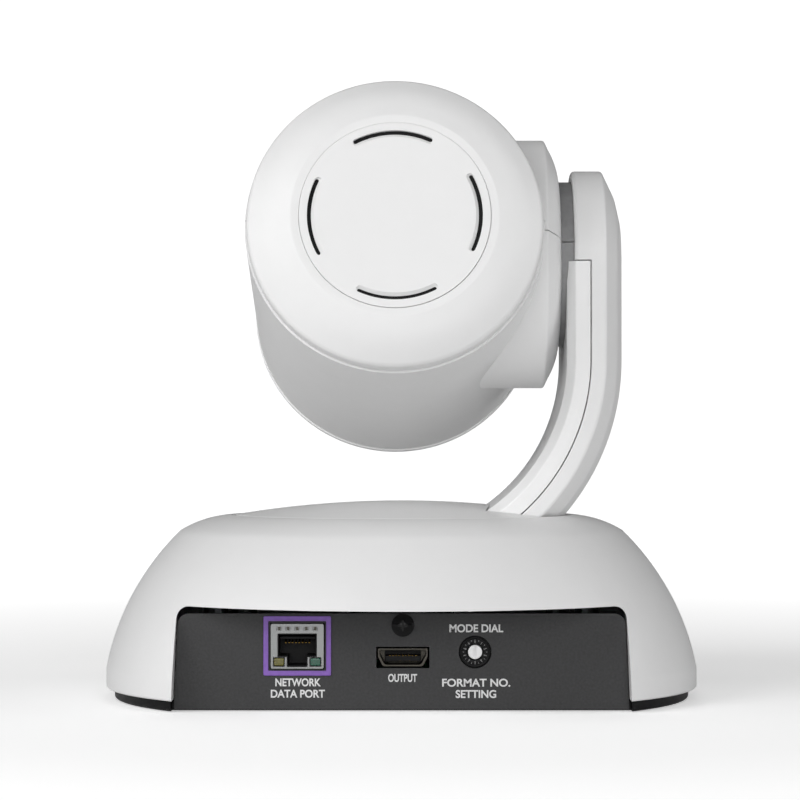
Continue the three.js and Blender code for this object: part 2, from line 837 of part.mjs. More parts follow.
function panFrame() {
  const flangeFoot = panFrameTop - panFrameThickness;
  const flangeRadius = turntableRadius - panFrameInset;
  return turned(
    "z",
    [
      [panHub.bore, panHub.foot],
      [panHub.radius, panHub.foot],
      [panHub.radius, flangeFoot],
      [flangeRadius, flangeFoot],
      [flangeRadius, panFrameTop],
      [panHub.bore, panFrameTop],
    ],
    INNER_TURN,
  );
}

node(model, "pan_frame", panFrame(), "steel");

// ---- Arm -------------------------------------------------------------------------------------

const armPathRadius = armMiddle - armBendCentre;
const armPathEnd = Math.asin(Math.min((armBendHeight - turntableFoot + 4) / armPathRadius, 1));

class ArmPath extends THREE.Curve {
  getPoint(t, target = new THREE.Vector3()) {
    const top = tiltHeight + armHalfWidth + 4;
    const straight = top - armBendHeight;
    const bent = armPathRadius * armPathEnd;
    const walked = t * (straight + bent);
    if (walked <= straight) {
      return target.set(armMiddle, 0, top - walked);
    }
    const angle = (walked - straight) / armPathRadius;
    return target.set(
      armBendCentre + armPathRadius * Math.cos(angle),
      0,
      armBendHeight - armPathRadius * Math.sin(angle),
    );
  }
}

// A section of the arm, as [out from the arm's middle, along Y], swept down the arm's path.
// The path's own axes point along -Y and -X at its upper end, so both are turned round.
function swept(section) {
  const shape = polygon(section.map(([out, along]) => [-along, -out]));
  return solid(new THREE.ExtrudeGeometry(shape, { steps: 24, extrudePath: new ArmPath() }));
}

function mirrored(half) {
  return [...half.map(([out, along]) => [out, -along]), ...half.toReversed()];
}

const halfThick = armThickness / 2;
const seamOut = armSeam - halfThick;
const armChamferStart = halfThick - armOuterChamfer.deep;
const hollowHalf = chamberRadius;
const hollowStart = armChamferStart - 1.5;
const hollowEnd = halfThick - armWall;

function armSection(from, grow) {
  return mirrored([
    [from, armHalfWidth + grow],
    [armChamferStart, armHalfWidth + grow],
    [halfThick + grow, chamferHalf + grow],
  ]);
}

const hollowSection = mirrored([
  [seamOut - 1.5, hollowHalf],
  [hollowStart, hollowHalf],
  [hollowEnd, chamferHalf - 1.1],
]);

const coverSection = mirrored([
  [-halfThick, armHalfWidth - armInnerChamfer.across],
  [-halfThick + armInnerChamfer.deep, armHalfWidth],
  [seamOut - GAP, armHalfWidth],
]);

const coverHollow = mirrored([
  [-halfThick + armWall, hollowHalf],
  [seamOut + 1, hollowHalf],
]);

const armFoot = turntableFoot + 0.1;
const aboveFoot = box(-FAR, FAR, -FAR, FAR, armFoot, FAR);
const coverTop = tiltHeight + coverTopLift;

// The round top of the arm: a disc on the tilt axis with a wide cone on its outer face.
function armOutline() {
  return turned(
    "x",
    [
      [0, armRimInner],
      [armHalfWidth, armRimInner],
      [armHalfWidth, armMiddle + armChamferStart],
      [chamferHalf, armOuter],
      [0, armOuter],
    ],
    TURN,
  )
    .translate([0, 0, tiltHeight])
    .add(box(0, armOuter + 5, -armHalfWidth - 1, armHalfWidth + 1, 0, tiltHeight));
}

function tiltChamber() {
  return turned(
    "x",
    [
      [0, armInner - 5],
      [seatRadius, armInner - 5],
      [seatRadius, neckEnd + GAP],
      [hollowHalf, neckEnd + GAP],
      [hollowHalf, armMiddle + hollowStart],
      [chamferHalf - 1.1, armMiddle + hollowEnd],
      [0, armMiddle + hollowEnd],
    ],
    TURN,
  ).translate([0, 0, tiltHeight]);
}

function armShell() {
  const upperRim = box(
    armRimInner,
    armMiddle,
    -armHalfWidth - 1,
    armHalfWidth + 1,
    coverTop + GAP,
    tiltHeight + armHalfWidth + 3,
  );
  const belowAxis = box(0, armOuter + 5, -armHalfWidth, armHalfWidth, 0, tiltHeight);
  return swept(armSection(seamOut, 0))
    .add(upperRim)
    .intersect(armOutline())
    .subtract(swept(hollowSection).intersect(belowAxis))
    .subtract(tiltChamber())
    .intersect(aboveFoot);
}

function armCover() {
  const seat = disc("x", seatRadius, armInner - 5, armOuter, TURN).translate([0, 0, tiltHeight]);
  return swept(coverSection)
    .subtract(swept(coverHollow))
    .subtract(seat)
    .intersect(box(-FAR, FAR, -FAR, FAR, armFoot, coverTop));
}

node(model, "arm_shell", armShell(), "whiteShell");
node(model, "arm_cover", armCover(), "whiteTrim");

// ---- Turntable ----------------------------------------------------------------------------------

function turntable() {
  const crown = lipHeight + turntableCrown;
  const sag = (turntableRadius ** 2 + turntableCrown ** 2) / (2 * turntableCrown);
  const top = arcBetween([turntableRadius, lipHeight], [0, crown], sag, 5);
  const slot = swept([
    [-halfThick - RUNNING_GAP, -armHalfWidth - RUNNING_GAP],
    [halfThick + 8, -armHalfWidth - RUNNING_GAP],
    [halfThick + 8, armHalfWidth + RUNNING_GAP],
    [-halfThick - RUNNING_GAP, armHalfWidth + RUNNING_GAP],
  ]);
  const cableHole = disc("z", panHub.bore, 0, turntableFoot + turntableThickness, SMALL_TURN);
  const dish = turned(
    "z",
    [
      [0, turntableFoot],
      [turntableRadius, turntableFoot],
      ...top,
    ],
    FINE_TURN,
  );
  return dish.subtract(slot).subtract(cableHole);
}

node(model, "turntable", turntable(), "whiteShell");

// ---- Tilt drive -------------------------------------------------------------------------------

const onTiltAxis = [0, 0, tiltHeight];

node(
  model,
  "bearing_plate",
  ring(
    "x",
    tiltBearing.outer + GAP,
    chamberRadius - GAP,
    bearingPlateInner,
    bearingPlateInner + bearingPlateThickness,
    TURN,
  ).translate(onTiltAxis),
  "steel",
);
node(
  model,
  "tilt_bearing",
  ring(
    "x",
    tiltShaft.radius + GAP,
    tiltBearing.outer,
    tiltBearingInner,
    tiltBearingInner + tiltBearing.height,
    INNER_TURN,
  ).translate(onTiltAxis),
  "steel",
);

const onPinionAxis = [0, 0, tiltPinionZ];
const tiltMotorInner = tiltGearOuter + 0.6;
node(
  model,
  "tilt_motor",
  disc("x", tiltMotor.radius, tiltMotorInner, tiltMotorInner + tiltMotor.thickness, SMALL_TURN)
    .translate(onPinionAxis),
  "blackPlastic",
);
node(
  model,
  "tilt_pinion",
  prism(
    "x",
    gearShape(tiltPinionTeeth, UP + Math.PI / tiltPinionTeeth, 3),
    tiltGearInner,
    tiltGearOuter,
  )
    .add(disc("x", tiltPinionShaft, tiltGearOuter - 1, tiltMotorInner - GAP, ROD_TURN))
    .translate(onPinionAxis),
  "brass",
);

// The next two pieces turn with the head, so they are made in its frame.
const tiltGearTooth = -UP + THREE.MathUtils.degToRad(restTilt);
node(
  head,
  "tilt_gear",
  prism("x", gearShape(tiltGearTeeth, tiltGearTooth, 2), tiltGearInner, tiltGearOuter).subtract(
    disc("x", tiltShaft.radius + GAP, tiltGearInner - 1, tiltGearOuter + 1, INNER_TURN),
  ),
  "nylon",
);

const shaftFlangeInner = bracket.sideX + bracket.thickness + GAP;
node(
  head,
  "tilt_shaft",
  turned(
    "x",
    [
      [tiltShaft.bore, shaftFlangeInner],
      [tiltShaft.flangeRadius, shaftFlangeInner],
      [tiltShaft.flangeRadius, shaftFlangeInner + tiltShaft.flangeThickness],
      [tiltShaft.radius, shaftFlangeInner + tiltShaft.flangeThickness],
      [tiltShaft.radius, tiltGearOuter + GAP],
      [tiltShaft.bore, tiltGearOuter + GAP],
    ],
    INNER_TURN,
  ),
  "steel",
);

// ---- Head shells -------------------------------------------------------------------------------

function onBarrelAxis(shape) {
  return shape.translate([barrelX, 0, barrelZ]);
}

function barrelSolid(shrink, from, to) {
  return onBarrelAxis(
    turned(
      "y",
      [
        [0, from],
        [barrelRearRadius - shrink, from],
        [barrelFrontRadius - shrink, to],
        [0, to],
      ],
      TURN,
    ),
  );
}

// The drum that joins the barrel to the arm, and its neck, turned about the tilt axis.
function bossSolid(shrink) {
  const rim = bossRadius - shrink;
  const crown = bossCrown - shrink;
  return turned(
    "x",
    [
      [0, 10],
      [rim, 10],
      [rim, bossRim - bossCorner - shrink / 2],
      [rim - bossCorner * 0.7, bossRim - shrink / 2],
      [(rim + neckRadius) / 2, bossRim + crown * 0.72],
      [neckRadius + 0.5, neckFoot - shrink],
      [neckRadius - shrink, neckFoot - shrink],
      [neckRadius - shrink, neckEnd - shrink],
      [0, neckEnd - shrink],
    ],
    TURN,
  );
}

const headShell = barrelSolid(0, capSeam + seamGap, barrelFront)
  .add(bossSolid(0))
  .subtract(barrelSolid(headWall, capSeam - 1, barrelFront + 1))
  .subtract(bossSolid(headWall))
  .subtract(disc("x", tiltShaft.radius + 0.7, bossRim - 10, neckEnd + 1, INNER_TURN));

function headHalf(low, high) {
  return headShell.intersect(box(-FAR, FAR, -FAR, FAR, low, high));
}

node(head, "head_upper_shell", headHalf(seamGap / 2, FAR), "whiteShell");
node(head, "head_lower_shell", headHalf(-FAR, -seamGap / 2), "whiteShell");

// ---- Rear cap and its vented disc ----------------------------------------------------------------

const seatInner = discRadius - 3;
const capOuterProfile = [
  [capRadius, capSeam],
  [capRadius, capRim + 0.6],
  [capRadius - capCorner * 0.3, capRim - capCorner * 0.45],
  [capRadius - capCorner, capRim - capCorner * 0.8],
  [(capRadius + discRadius + 3) / 2, (capRim + capFace) / 2 - 2.2],
  [discRadius + 3, capFace + 0.4],
];

function rearCap() {
  const inner = [
    [discRadius + 1, capFace + headWall + 1.4],
    [capRadius - capCorner - headWall * 0.6, capRim - 0.4],
    [capRadius - headWall, capRim + 1.4],
    [capRadius - headWall, capSeam],
  ];
  const seat = [
    [discRadius + GAP, capFace + 0.4],
    [discRadius + GAP, capFace + discThickness + GAP],
    [seatInner, capFace + discThickness + GAP],
    [seatInner, capFace + discThickness + 1.8],
  ];
  return onBarrelAxis(turned("y", [...capOuterProfile, ...seat, ...inner], TURN));
}

node(head, "rear_cap", rearCap(), "whiteShell");

// One arc slot of the vent, as an outline round the barrel's axis.
function ventSlot(direction) {
  const half = THREE.MathUtils.degToRad(vent.halfSpan);
  const inner = vent.radius - vent.width / 2;
  const outer = vent.radius + vent.width / 2;
  const shape = new THREE.Shape();
  shape.absarc(0, 0, outer, direction - half, direction + half, false);
  shape.absarc(0, 0, inner, direction + half, direction - half, true);
  return shape;
}

function ventDisc() {
  let plate = ring("y", 0, discRadius, capFace, capFace + discThickness, TURN);
  for (let i = 0; i < vent.count; i += 1) {
    const direction = THREE.MathUtils.degToRad(vent.roll + (i * 360) / vent.count);
    plate = plate.subtract(
      prism("y", ventSlot(direction), capFace - 1, capFace + discThickness + 1),
    );
  }
  return onBarrelAxis(plate);
}

node(head, "vent_disc", ventDisc(), "whiteShell");

// ---- Front bezel, window and lens ------------------------------------------------------------------

const bezelBack = barrelFront + GAP;
const bezelFront = bezelBack + bezel.length;
const bezelRadius = barrelFrontRadius + bezel.proud;
node(
  head,
  "front_bezel",
  onBarrelAxis(
    turned(
      "y",
      [
        [bezel.inner, bezelBack],
        [bezelRadius, bezelBack],
        [bezelRadius, bezelFront - 1],
        [bezelRadius - 1, bezelFront],
        [bezel.inner, bezelFront],
      ],
      TURN,
    ),
  ),
  "whiteTrim",
);

const windowFront = bezelFront - 0.6;
const tubeFront = bezelFront - 0.2;
node(
  head,
  "front_window",
  onBarrelAxis(
    ring(
      "y",
      lensTube.radius + GAP,
      bezel.inner - GAP,
      windowFront - windowThickness,
      windowFront,
      TURN,
    ),
  ),
  "glass",
);

node(
  head,
  "lens_barrel",
  onBarrelAxis(
    turned(
      "y",
      [
        [lensTube.bore, lensTube.foot],
        [lensTube.flangeRadius, lensTube.foot],
        [lensTube.flangeRadius, lensTube.foot + lensTube.flangeThickness],
        [lensTube.radius, lensTube.foot + lensTube.flangeThickness],
        [lensTube.radius, tubeFront],
        [lensTube.bore, tubeFront],
      ],
      TURN,
    ),
  ),
  "blackPlastic",
);

// A lens of glass with a straight edge and a crown on both faces, centred at its place.
function lens(radius, edge, crown, place) {
  const bulge = (radius ** 2 + crown ** 2) / (2 * crown);
  const front = arcBetween([radius, place + edge / 2], [0, place + edge / 2 + crown], bulge, 4);
  const back = arcBetween([0, place - edge / 2 - crown / 2], [radius, place - edge / 2], bulge * 2, 3);
  return onBarrelAxis(turned("y", [...back, ...front], SMALL_TURN));
}

const frontGlassPlace = tubeFront - frontGlass.set;
node(
  head,
  "front_lens",
  lens(frontGlass.radius, frontGlass.edge, frontGlass.crown, frontGlassPlace),
  "glass",
);
node(
  head,
  "zoom_lens",
  lens(zoomGroup.radius, zoomGroup.edge, zoomGroup.crown, zoomGroup.place),
  "glass",
);
node(
  head,
  "focus_lens",
  lens(focusGroup.radius, focusGroup.edge, focusGroup.crown, focusGroup.place),
  "glass",
);

// ---- Camera bracket and boards in the head ---------------------------------------------------------

const bracketFloorTop = barrelZ - lensTube.flangeRadius - GAP;
function cameraBracket() {
  const side = box(
    bracket.sideX,
    bracket.sideX + bracket.thickness,
    bracket.back,
    bracket.back + 50,
    bracketFloorTop - bracket.thickness,
    bracket.top,
  );
  const floor = box(
    barrelX - lensTube.flangeRadius,
    bracket.sideX + bracket.thickness,
    bracket.back,
    bracket.front,
    bracketFloorTop - bracket.thickness,
    bracketFloorTop,
  );
  const cableHole = disc("x", tiltShaft.bore, bracket.sideX - 1, bracket.sideX + 5, SMALL_TURN);
  return side.add(floor).subtract(cableHole);
}

node(head, "camera_bracket", cameraBracket(), "steel");

const sensorBoardFront = lensTube.foot - sensorBoard.gap;
const sensorHalf = sensorBoard.size / 2;
node(
  head,
  "sensor_board",
  onBarrelAxis(
    box(
      -sensorHalf,
      sensorHalf,
      sensorBoardFront - sensorBoard.thickness,
      sensorBoardFront,
      -sensorHalf,
      sensorHalf,
    ),
  ),
  "boardGreen",
);
node(
  head,
  "image_sensor",
  onBarrelAxis(
    box(
      -sensor.width / 2,
      sensor.width / 2,
      sensorBoardFront + GAP,
      sensorBoardFront + GAP + sensor.thickness,
      -sensor.height / 2,
      sensor.height / 2,
    ),
  ),
  "glass",
);
node(
  head,
  "video_board",
  onBarrelAxis(
    box(
      -videoBoard.width / 2,
      videoBoard.width / 2,
      videoBoard.place,
      videoBoard.place + videoBoard.thickness,
      -videoBoard.height / 2,
      videoBoard.height / 2,
    ),
  ),
  "boardGreen",
);

export default model;
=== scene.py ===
import json
import math

import bmesh
import bpy
from bpy.props import FloatProperty, FloatVectorProperty, PointerProperty
from mathutils import Matrix, Vector


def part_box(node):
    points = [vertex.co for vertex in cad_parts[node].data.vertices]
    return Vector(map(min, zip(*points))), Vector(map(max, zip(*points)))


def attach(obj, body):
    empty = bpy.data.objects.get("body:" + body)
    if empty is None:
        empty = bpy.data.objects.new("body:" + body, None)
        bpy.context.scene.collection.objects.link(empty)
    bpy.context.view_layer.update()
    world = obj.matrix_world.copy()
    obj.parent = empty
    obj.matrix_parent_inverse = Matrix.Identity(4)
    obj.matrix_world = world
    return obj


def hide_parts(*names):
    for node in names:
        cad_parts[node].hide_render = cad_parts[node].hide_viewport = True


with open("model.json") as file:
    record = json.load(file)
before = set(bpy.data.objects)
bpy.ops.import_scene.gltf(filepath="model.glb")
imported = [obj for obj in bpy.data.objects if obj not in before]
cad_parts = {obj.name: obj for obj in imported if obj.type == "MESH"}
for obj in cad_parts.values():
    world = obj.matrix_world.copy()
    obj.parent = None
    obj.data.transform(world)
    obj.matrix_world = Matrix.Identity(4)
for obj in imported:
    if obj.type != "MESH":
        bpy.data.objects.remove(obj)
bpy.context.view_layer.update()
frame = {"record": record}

bl_info = {
    "name": "Pan and tilt camera",
    "version": (1, 0, 0),
    "blender": (4, 5, 0),
    "location": "3D View > Sidebar > PT camera",
    "description": "Fine surfaces and finishes of a desk-standing pan, tilt and zoom camera",
    "category": "Object",
}

# ---- Lengths and colours ------------------------------------------------------------------------
# Shapes are worked out in millimetres and turned to metres as their mesh is made.

MM = 0.001
ROUND = 176  # facets round the base and the head
SMALL_ROUND = 56  # facets round screws, dials and pads
CORNER_STEPS = 6
GAP = 0.3  # between pieces that sit in each other


def node_box(node):
    """A CAD node's lowest and highest corners in millimetres."""
    low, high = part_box(node)
    return Vector(low) / MM, Vector(high) / MM


def linear(hex_colour):
    """An sRGB hex colour as the linear values that a shader works in."""
    channels = [int(hex_colour[i : i + 2], 16) / 255 for i in (1, 3, 5)]
    return [c / 12.92 if c <= 0.04045 else ((c + 0.055) / 1.055) ** 2.4 for c in channels]


def length(name, description, millimetres):
    return FloatProperty(
        name=name, description=description, default=millimetres * MM, min=0.0, unit="LENGTH"
    )


def colour(name, description, hex_colour):
    return FloatVectorProperty(
        name=name,
        description=description,
        subtype="COLOR",
        size=3,
        min=0.0,
        max=1.0,
        default=linear(hex_colour),
    )


BASE_LOW, BASE_HIGH = node_box("base_shell")
DISH_LOW, DISH_HIGH = node_box("turntable")
PLATE_HIGH = node_box("base_plate")[1]
PANEL_LOW, PANEL_HIGH = node_box("rear_panel")
ARM_LOW, ARM_HIGH = node_box("arm_shell")
COVER_LOW, COVER_HIGH = node_box("arm_cover")
JACK_LOW, JACK_HIGH = node_box("network_jack")
JACK_FRAME_LOW, JACK_FRAME_HIGH = node_box("network_frame")
SOCKET_LOW, SOCKET_HIGH = node_box("video_socket")
DIAL_LOW, DIAL_HIGH = node_box("dial_housing")
ROTOR_LOW, ROTOR_HIGH = node_box("dial_rotor")
SCREW_LOW, SCREW_HIGH = node_box("panel_screw")
INSERT_LOW, INSERT_HIGH = node_box("tripod_insert")
JOINTS = {joint["name"]: joint for joint in frame["record"]["behaviour"]["joints"]}
TILT_Z = JOINTS["tilt"]["pos_m"][2] / MM
LENS_AXIS = Vector(JOINTS["zoom"]["axis"])
REST_TILT = math.atan2(-LENS_AXIS.z, LENS_AXIS.y)


class PTCAMERA_PG_sizes(bpy.types.PropertyGroup):
    """Sizes of the housings and of their edges."""

    rim_radius: length("Rim radius", "Radius of the base at its foot", BASE_HIGH.x)
    crease_radius: length("Crease radius", "Where the dome turns into the shoulder", 72)
    crease_height: length("Crease height", "Height of that turn", 52.4)
    dome_bulge: length("Dome arc", "Radius of the dome's bulge", 82)
    lip_radius: length("Lip radius", "Edge of the hole that the turntable sits in", 54.2)
    lip_height: length("Lip height", "Height of that edge", BASE_HIGH.z)
    shell_wall: length("Shell wall", "Thickness of the base's moulding", 2.6)
    opening_half: length("Opening", "Half the width of the socket recess at its top", 68.4)
    opening_top: length("Opening top", "Height of the socket recess", 31.9)
    opening_corner: length("Opening corner", "Corner radius of the socket recess", 4)
    barrel_front: length("Barrel front radius", "Radius of the head behind its bezel", 47)
    barrel_rear: length("Barrel rear radius", "Radius of the head at its rear cap", 46.1)
    cap_radius: length("Cap radius", "Radius of the rear cap", 45.5)
    disc_radius: length("Disc radius", "Radius of the vented disc in the cap", 29.1)
    vent_radius: length("Vent radius", "Circle that the four vents lie on", 25.6)
    vent_width: length("Vent width", "Width of a vent", 2.1)
    seam: length("Seam", "Gap between the head's two halves", 0.4)
    drum_radius: length("Drum radius", "Drum between the barrel and the arm", 39.9)
    neck_radius: length("Neck radius", "Neck that turns in the arm", 26.5)
    arm_half_width: length("Arm half width", "Half of the arm's width", ARM_HIGH.y)
    edge: length("Edge", "Rounding of the mouldings' edges", 0.35)
    letter_height: length("Letter height", "Height of a capital on the panel", 2.4)


class PTCAMERA_PG_colours(bpy.types.PropertyGroup):
    """Colours of the finishes."""

    shell: colour("Shell", "Moulded white housings", "#EAEAEA")
    # The trim white is partly painted light: on the arm's inner cover its extra brightness stands for light
    # falling on the cover's side face.
    trim: colour("Trim", "Brighter white mouldings", "#F1F1F1")
    panel: colour("Panel", "Powder-coated socket panel", "#2F2F30")
    black: colour("Black", "Black mouldings", "#121213")
    frame: colour("Socket frame", "Coloured frame round the network socket", "#7A50AC")
    ink: colour("Ink", "Printed lettering", "#DCDCDC")
    faint_ink: colour("Faint ink", "Fine print on the dial", "#8E8E8E")
    amber: colour("Amber light", "Light pipe beside the network socket", "#5F5A14")
    green: colour("Green light", "Light pipe beside the network socket", "#185440")
    floor: colour("Floor", "Studio floor and backdrop", "#FAFAFA")


def sizes():
    """The size properties in millimetres, by name."""
    group = bpy.context.scene.ptcamera_sizes
    names = PTCAMERA_PG_sizes.__annotations__
    return type("Sizes", (), {name: getattr(group, name) / MM for name in names})


def shade(name):
    """A colour property, as a linear colour."""
    return [*getattr(bpy.context.scene.ptcamera_colours, name), 1.0]


# ---- Nodes and materials ------------------------------------------------------------------------


def add_node(tree, kind, settings=None, inputs=None):
    """A node with its settings, its values and its links."""
    node = tree.nodes.new(kind)
    for name, value in (settings or {}).items():
        setattr(node, name, value)
    for name, value in (inputs or {}).items():
        if isinstance(value, bpy.types.NodeSocket):
            tree.links.new(value, node.inputs[name])
        else:
            node.inputs[name].default_value = value
    return node


def plain_finish(name, base, roughness, metallic=0.0, **values):
    """A material with one principled shader; its tree, shader and object coordinates."""
    material = bpy.data.materials.get(name)
    if material is not None:
        return material, None, None, None
    material = bpy.data.materials.new(name)
    material.use_nodes = True
    tree = material.node_tree
    shader = tree.nodes["Principled BSDF"]
    shader.inputs["Base Color"].default_value = base
    shader.inputs["Roughness"].default_value = roughness
    shader.inputs["Metallic"].default_value = metallic
    for socket, value in values.items():
        shader.inputs[socket.replace("_", " ")].default_value = value
    place = add_node(tree, "ShaderNodeTexCoord").outputs["Object"]
    return material, tree, shader, place


def grain(tree, place, millimetres, detail=3.0):
    """Noise whose grains are this many millimetres across."""
    inputs = {"Vector": place, "Scale": 1 / (millimetres * MM), "Detail": detail}
    return add_node(tree, "ShaderNodeTexNoise", inputs=inputs).outputs["Fac"]


def tint(tree, shader, factor, base, change):
    """The base colour drifting by a share up and down along a factor."""
    ramp = add_node(tree, "ShaderNodeValToRGB", inputs={"Fac": factor})
    for stop, share in zip(ramp.color_ramp.elements, (1 - change, 1 + change)):
        stop.color = [min(c * share, 1.0) for c in base[:3]] + [1.0]
    ramp.color_ramp.elements[0].position = 0.3
    ramp.color_ramp.elements[1].position = 0.7
    tree.links.new(ramp.outputs["Color"], shader.inputs["Base Color"])


def roughness_drift(tree, shader, factor, low, high):
    spread = add_node(
        tree, "ShaderNodeMapRange", inputs={"Value": factor, "To Min": low, "To Max": high}
    )
    tree.links.new(spread.outputs["Result"], shader.inputs["Roughness"])


def bump(tree, shader, height, strength, millimetres):
    inputs = {"Height": height, "Strength": strength, "Distance": millimetres * MM}
    node = add_node(tree, "ShaderNodeBump", inputs=inputs)
    tree.links.new(node.outputs["Normal"], shader.inputs["Normal"])


def spark_eroded_abs(name, base, roughness):
    """ABS from a spark-eroded mould: an even satin white whose fine grain softens highlights."""
    material, tree, shader, place = plain_finish(name, base, roughness, IOR=1.53)
    if tree is None:
        return material
    tint(tree, shader, grain(tree, place, 9.0), base, 0.006)
    roughness_drift(tree, shader, grain(tree, place, 2.0), roughness - 0.05, roughness + 0.05)
    # The true grain is about 0.05 mm; it is drawn at 0.35 mm so that it shows.
    bump(tree, shader, grain(tree, place, 0.35), 0.10, 0.02)
    return material


def white_housing():
    return spark_eroded_abs("moulded_white_abs", shade("shell"), 0.46)


# Brighter white of the bezel and the dial knob; on the arm's inner cover it is painted light, showing its
# side face as lit.
def white_trim():
    return spark_eroded_abs("moulded_white_abs_trim_and_painted_light", shade("trim"), 0.40)


def powder_coated_steel():
    """Powder-coated sheet steel: dark grey with an orange-peel grain and lighter specks."""
    base = shade("panel")
    material, tree, shader, place = plain_finish("powder_coated_steel", base, 0.62, IOR=1.5)
    if tree is None:
        return material
    peel = grain(tree, place, 0.8, 4.0)
    tint(tree, shader, peel, base, 0.16)
    roughness_drift(tree, shader, grain(tree, place, 0.6), 0.52, 0.72)
    bump(tree, shader, peel, 0.35, 0.12)
    return material


def moulded_black():
    """Black ABS with a fine grain and hardly any gloss."""
    base = shade("black")
    material, tree, shader, place = plain_finish("moulded_black_abs", base, 0.5, Specular_IOR_Level=0.12)
    if tree is None:
        return material
    tint(tree, shader, grain(tree, place, 3.0), base, 0.12)
    roughness_drift(tree, shader, grain(tree, place, 1.2), 0.34, 0.5)
    bump(tree, shader, grain(tree, place, 0.3), 0.12, 0.02)
    return material


def moulded_grey():
    """Mid-grey on the sleeve that turns in the arm: painted shade, standing in for the shade the neck sits
    in between the drum and the arm.
    """
    base = [*linear("#8C8C8D"), 1.0]
    material, tree, shader, place = plain_finish("painted_neck_shade_grey", base, 0.5)
    if tree is None:
        return material
    tint(tree, shader, grain(tree, place, 3.0), base, 0.08)
    bump(tree, shader, grain(tree, place, 0.4), 0.06, 0.02)
    return material


def felted_black():
    """Flocked black dust mesh behind the vents: hardly any light comes back."""
    base = [*linear("#0C0C0D"), 1.0]
    material, tree, shader, place = plain_finish("black_dust_mesh", base, 0.9)
    if tree is None:
        return material
    weave = add_node(
        tree,
        "ShaderNodeTexVoronoi",
        inputs={"Vector": place, "Scale": 1 / (0.7 * MM), "Randomness": 0.15},
    )
    bump(tree, shader, weave.outputs["Distance"], 0.5, 0.2)
    return material


def nitrile_rubber():
    """Die-cut rubber pads: matt, faintly dusty."""
    base = [*linear("#232323"), 1.0]
    material, tree, shader, place = plain_finish("nitrile_rubber", base, 0.85, IOR=1.52)
    if tree is None:
        return material
    tint(tree, shader, grain(tree, place, 1.5), base, 0.25)
    bump(tree, shader, grain(tree, place, 0.5), 0.3, 0.08)
    return material


def printed_frame():
    """Purple ABS frame, satin, with the slight mottle of a pigmented moulding."""
    base = shade("frame")
    material, tree, shader, place = plain_finish("pigmented_purple_abs", base, 0.45, IOR=1.53)
    if tree is None:
        return material
    tint(tree, shader, grain(tree, place, 1.4), base, 0.08)
    bump(tree, shader, grain(tree, place, 0.3), 0.12, 0.02)
    return material


def printed_ink(name, base):
    """Printed ink, by screen or by pad: flat, a little uneven."""
    material, tree, shader, place = plain_finish(name, base, 0.6)
    if tree is None:
        return material
    tint(tree, shader, grain(tree, place, 0.5), base, 0.08)
    return material


def screen_ink():
    return printed_ink("screen_printed_ink", shade("ink"))


def faint_ink():
    return printed_ink("pad_printed_grey_ink", shade("faint_ink"))


def blackened_steel():
    """Oiled black oxide on the screw: near black with sharp small highlights."""
    base = [*linear("#0B0B0C"), 1.0]
    material, tree, shader, place = plain_finish(
        "black_oxide_steel", base, 0.16, Specular_IOR_Level=0.2
    )
    if tree is None:
        return material
    tint(tree, shader, grain(tree, place, 0.6), base, 0.2)
    bump(tree, shader, grain(tree, place, 0.5), 0.1, 0.03)
    return material


def metal(name, hex_colour, roughness, drift, brush_mm):
    """A metal whose roughness runs in fine streaks along X, as rolling or brushing leaves it."""
    base = [*linear(hex_colour), 1.0]
    material, tree, shader, place = plain_finish(name, base, roughness, 1.0)
    if tree is None:
        return material
    streaks = add_node(
        tree, "ShaderNodeMapping", inputs={"Vector": place, "Scale": (0.08, 1.0, 1.0)}
    )
    lines = grain(tree, streaks.outputs["Vector"], brush_mm)
    tint(tree, shader, lines, base, 0.05)
    roughness_drift(tree, shader, lines, roughness - drift, roughness + drift)
    bump(tree, shader, lines, 0.08, 0.02)
    return material


def tin_plate():
    """Tin-plated sheet, as socket shields are: satin grey with soft rolling streaks; the grey is darkened as
    painted shade of the socket recess.
    """
    return metal("tin_plated_sheet_painted_shade", "#7C7D7D", 0.36, 0.08, 0.25)


def dull_nickel():
    """Nickel plate, its colour darkened as painted shade and painted dark reflection, on the video socket's
    shield and the network socket's springs.
    """
    return metal("nickel_plate_painted_shade", "#403E39", 0.3, 0.1, 0.25)


def machined_steel():
    """Zinc-plated steel of the chassis, shafts and bearings."""
    return metal("zinc_plated_steel", "#9DA0A4", 0.34, 0.10, 0.4)


def gold_contact():
    """Gold-plated spring contacts, their gold darkened as painted shade of the sockets' insides."""
    return metal("gold_plated_contact_painted_shade", "#9A7A3C", 0.22, 0.05, 0.2)


def turned_brass():
    """Turned brass of the pinions and the threaded insert."""
    return metal("turned_brass", "#C2A05A", 0.28, 0.08, 0.2)


def moulded_nylon():
    """Natural nylon gears: waxy and slightly translucent."""
    base = [*linear("#DAD6C8"), 1.0]
    material, tree, shader, place = plain_finish(
        "moulded_nylon", base, 0.5, IOR=1.53, Subsurface_Weight=0.15
    )
    if tree is None:
        return material
    shader.inputs["Subsurface Radius"].default_value = (0.002, 0.0018, 0.0014)
    tint(tree, shader, grain(tree, place, 4.0), base, 0.03)
    return material


def solder_mask():
    """Glass-fibre board under green solder mask, with lighter copper tracks showing through."""
    base = [*linear("#1E5A34"), 1.0]
    material, tree, shader, place = plain_finish("green_solder_mask", base, 0.35, IOR=1.5)
    if tree is None:
        return material
    tracks = add_node(
        tree,
        "ShaderNodeTexBrick",
        inputs={"Vector": place, "Scale": 1 / (6 * MM), "Mortar Size": 0.05},
    )
    tracks.inputs["Color1"].default_value = base
    tracks.inputs["Color2"].default_value = [*linear("#1A5230"), 1.0]
    tracks.inputs["Mortar"].default_value = [*linear("#3D7C4C"), 1.0]
    tree.links.new(tracks.outputs["Color"], shader.inputs["Base Color"])
    bump(tree, shader, tracks.outputs["Fac"], 0.15, 0.04)
    return material


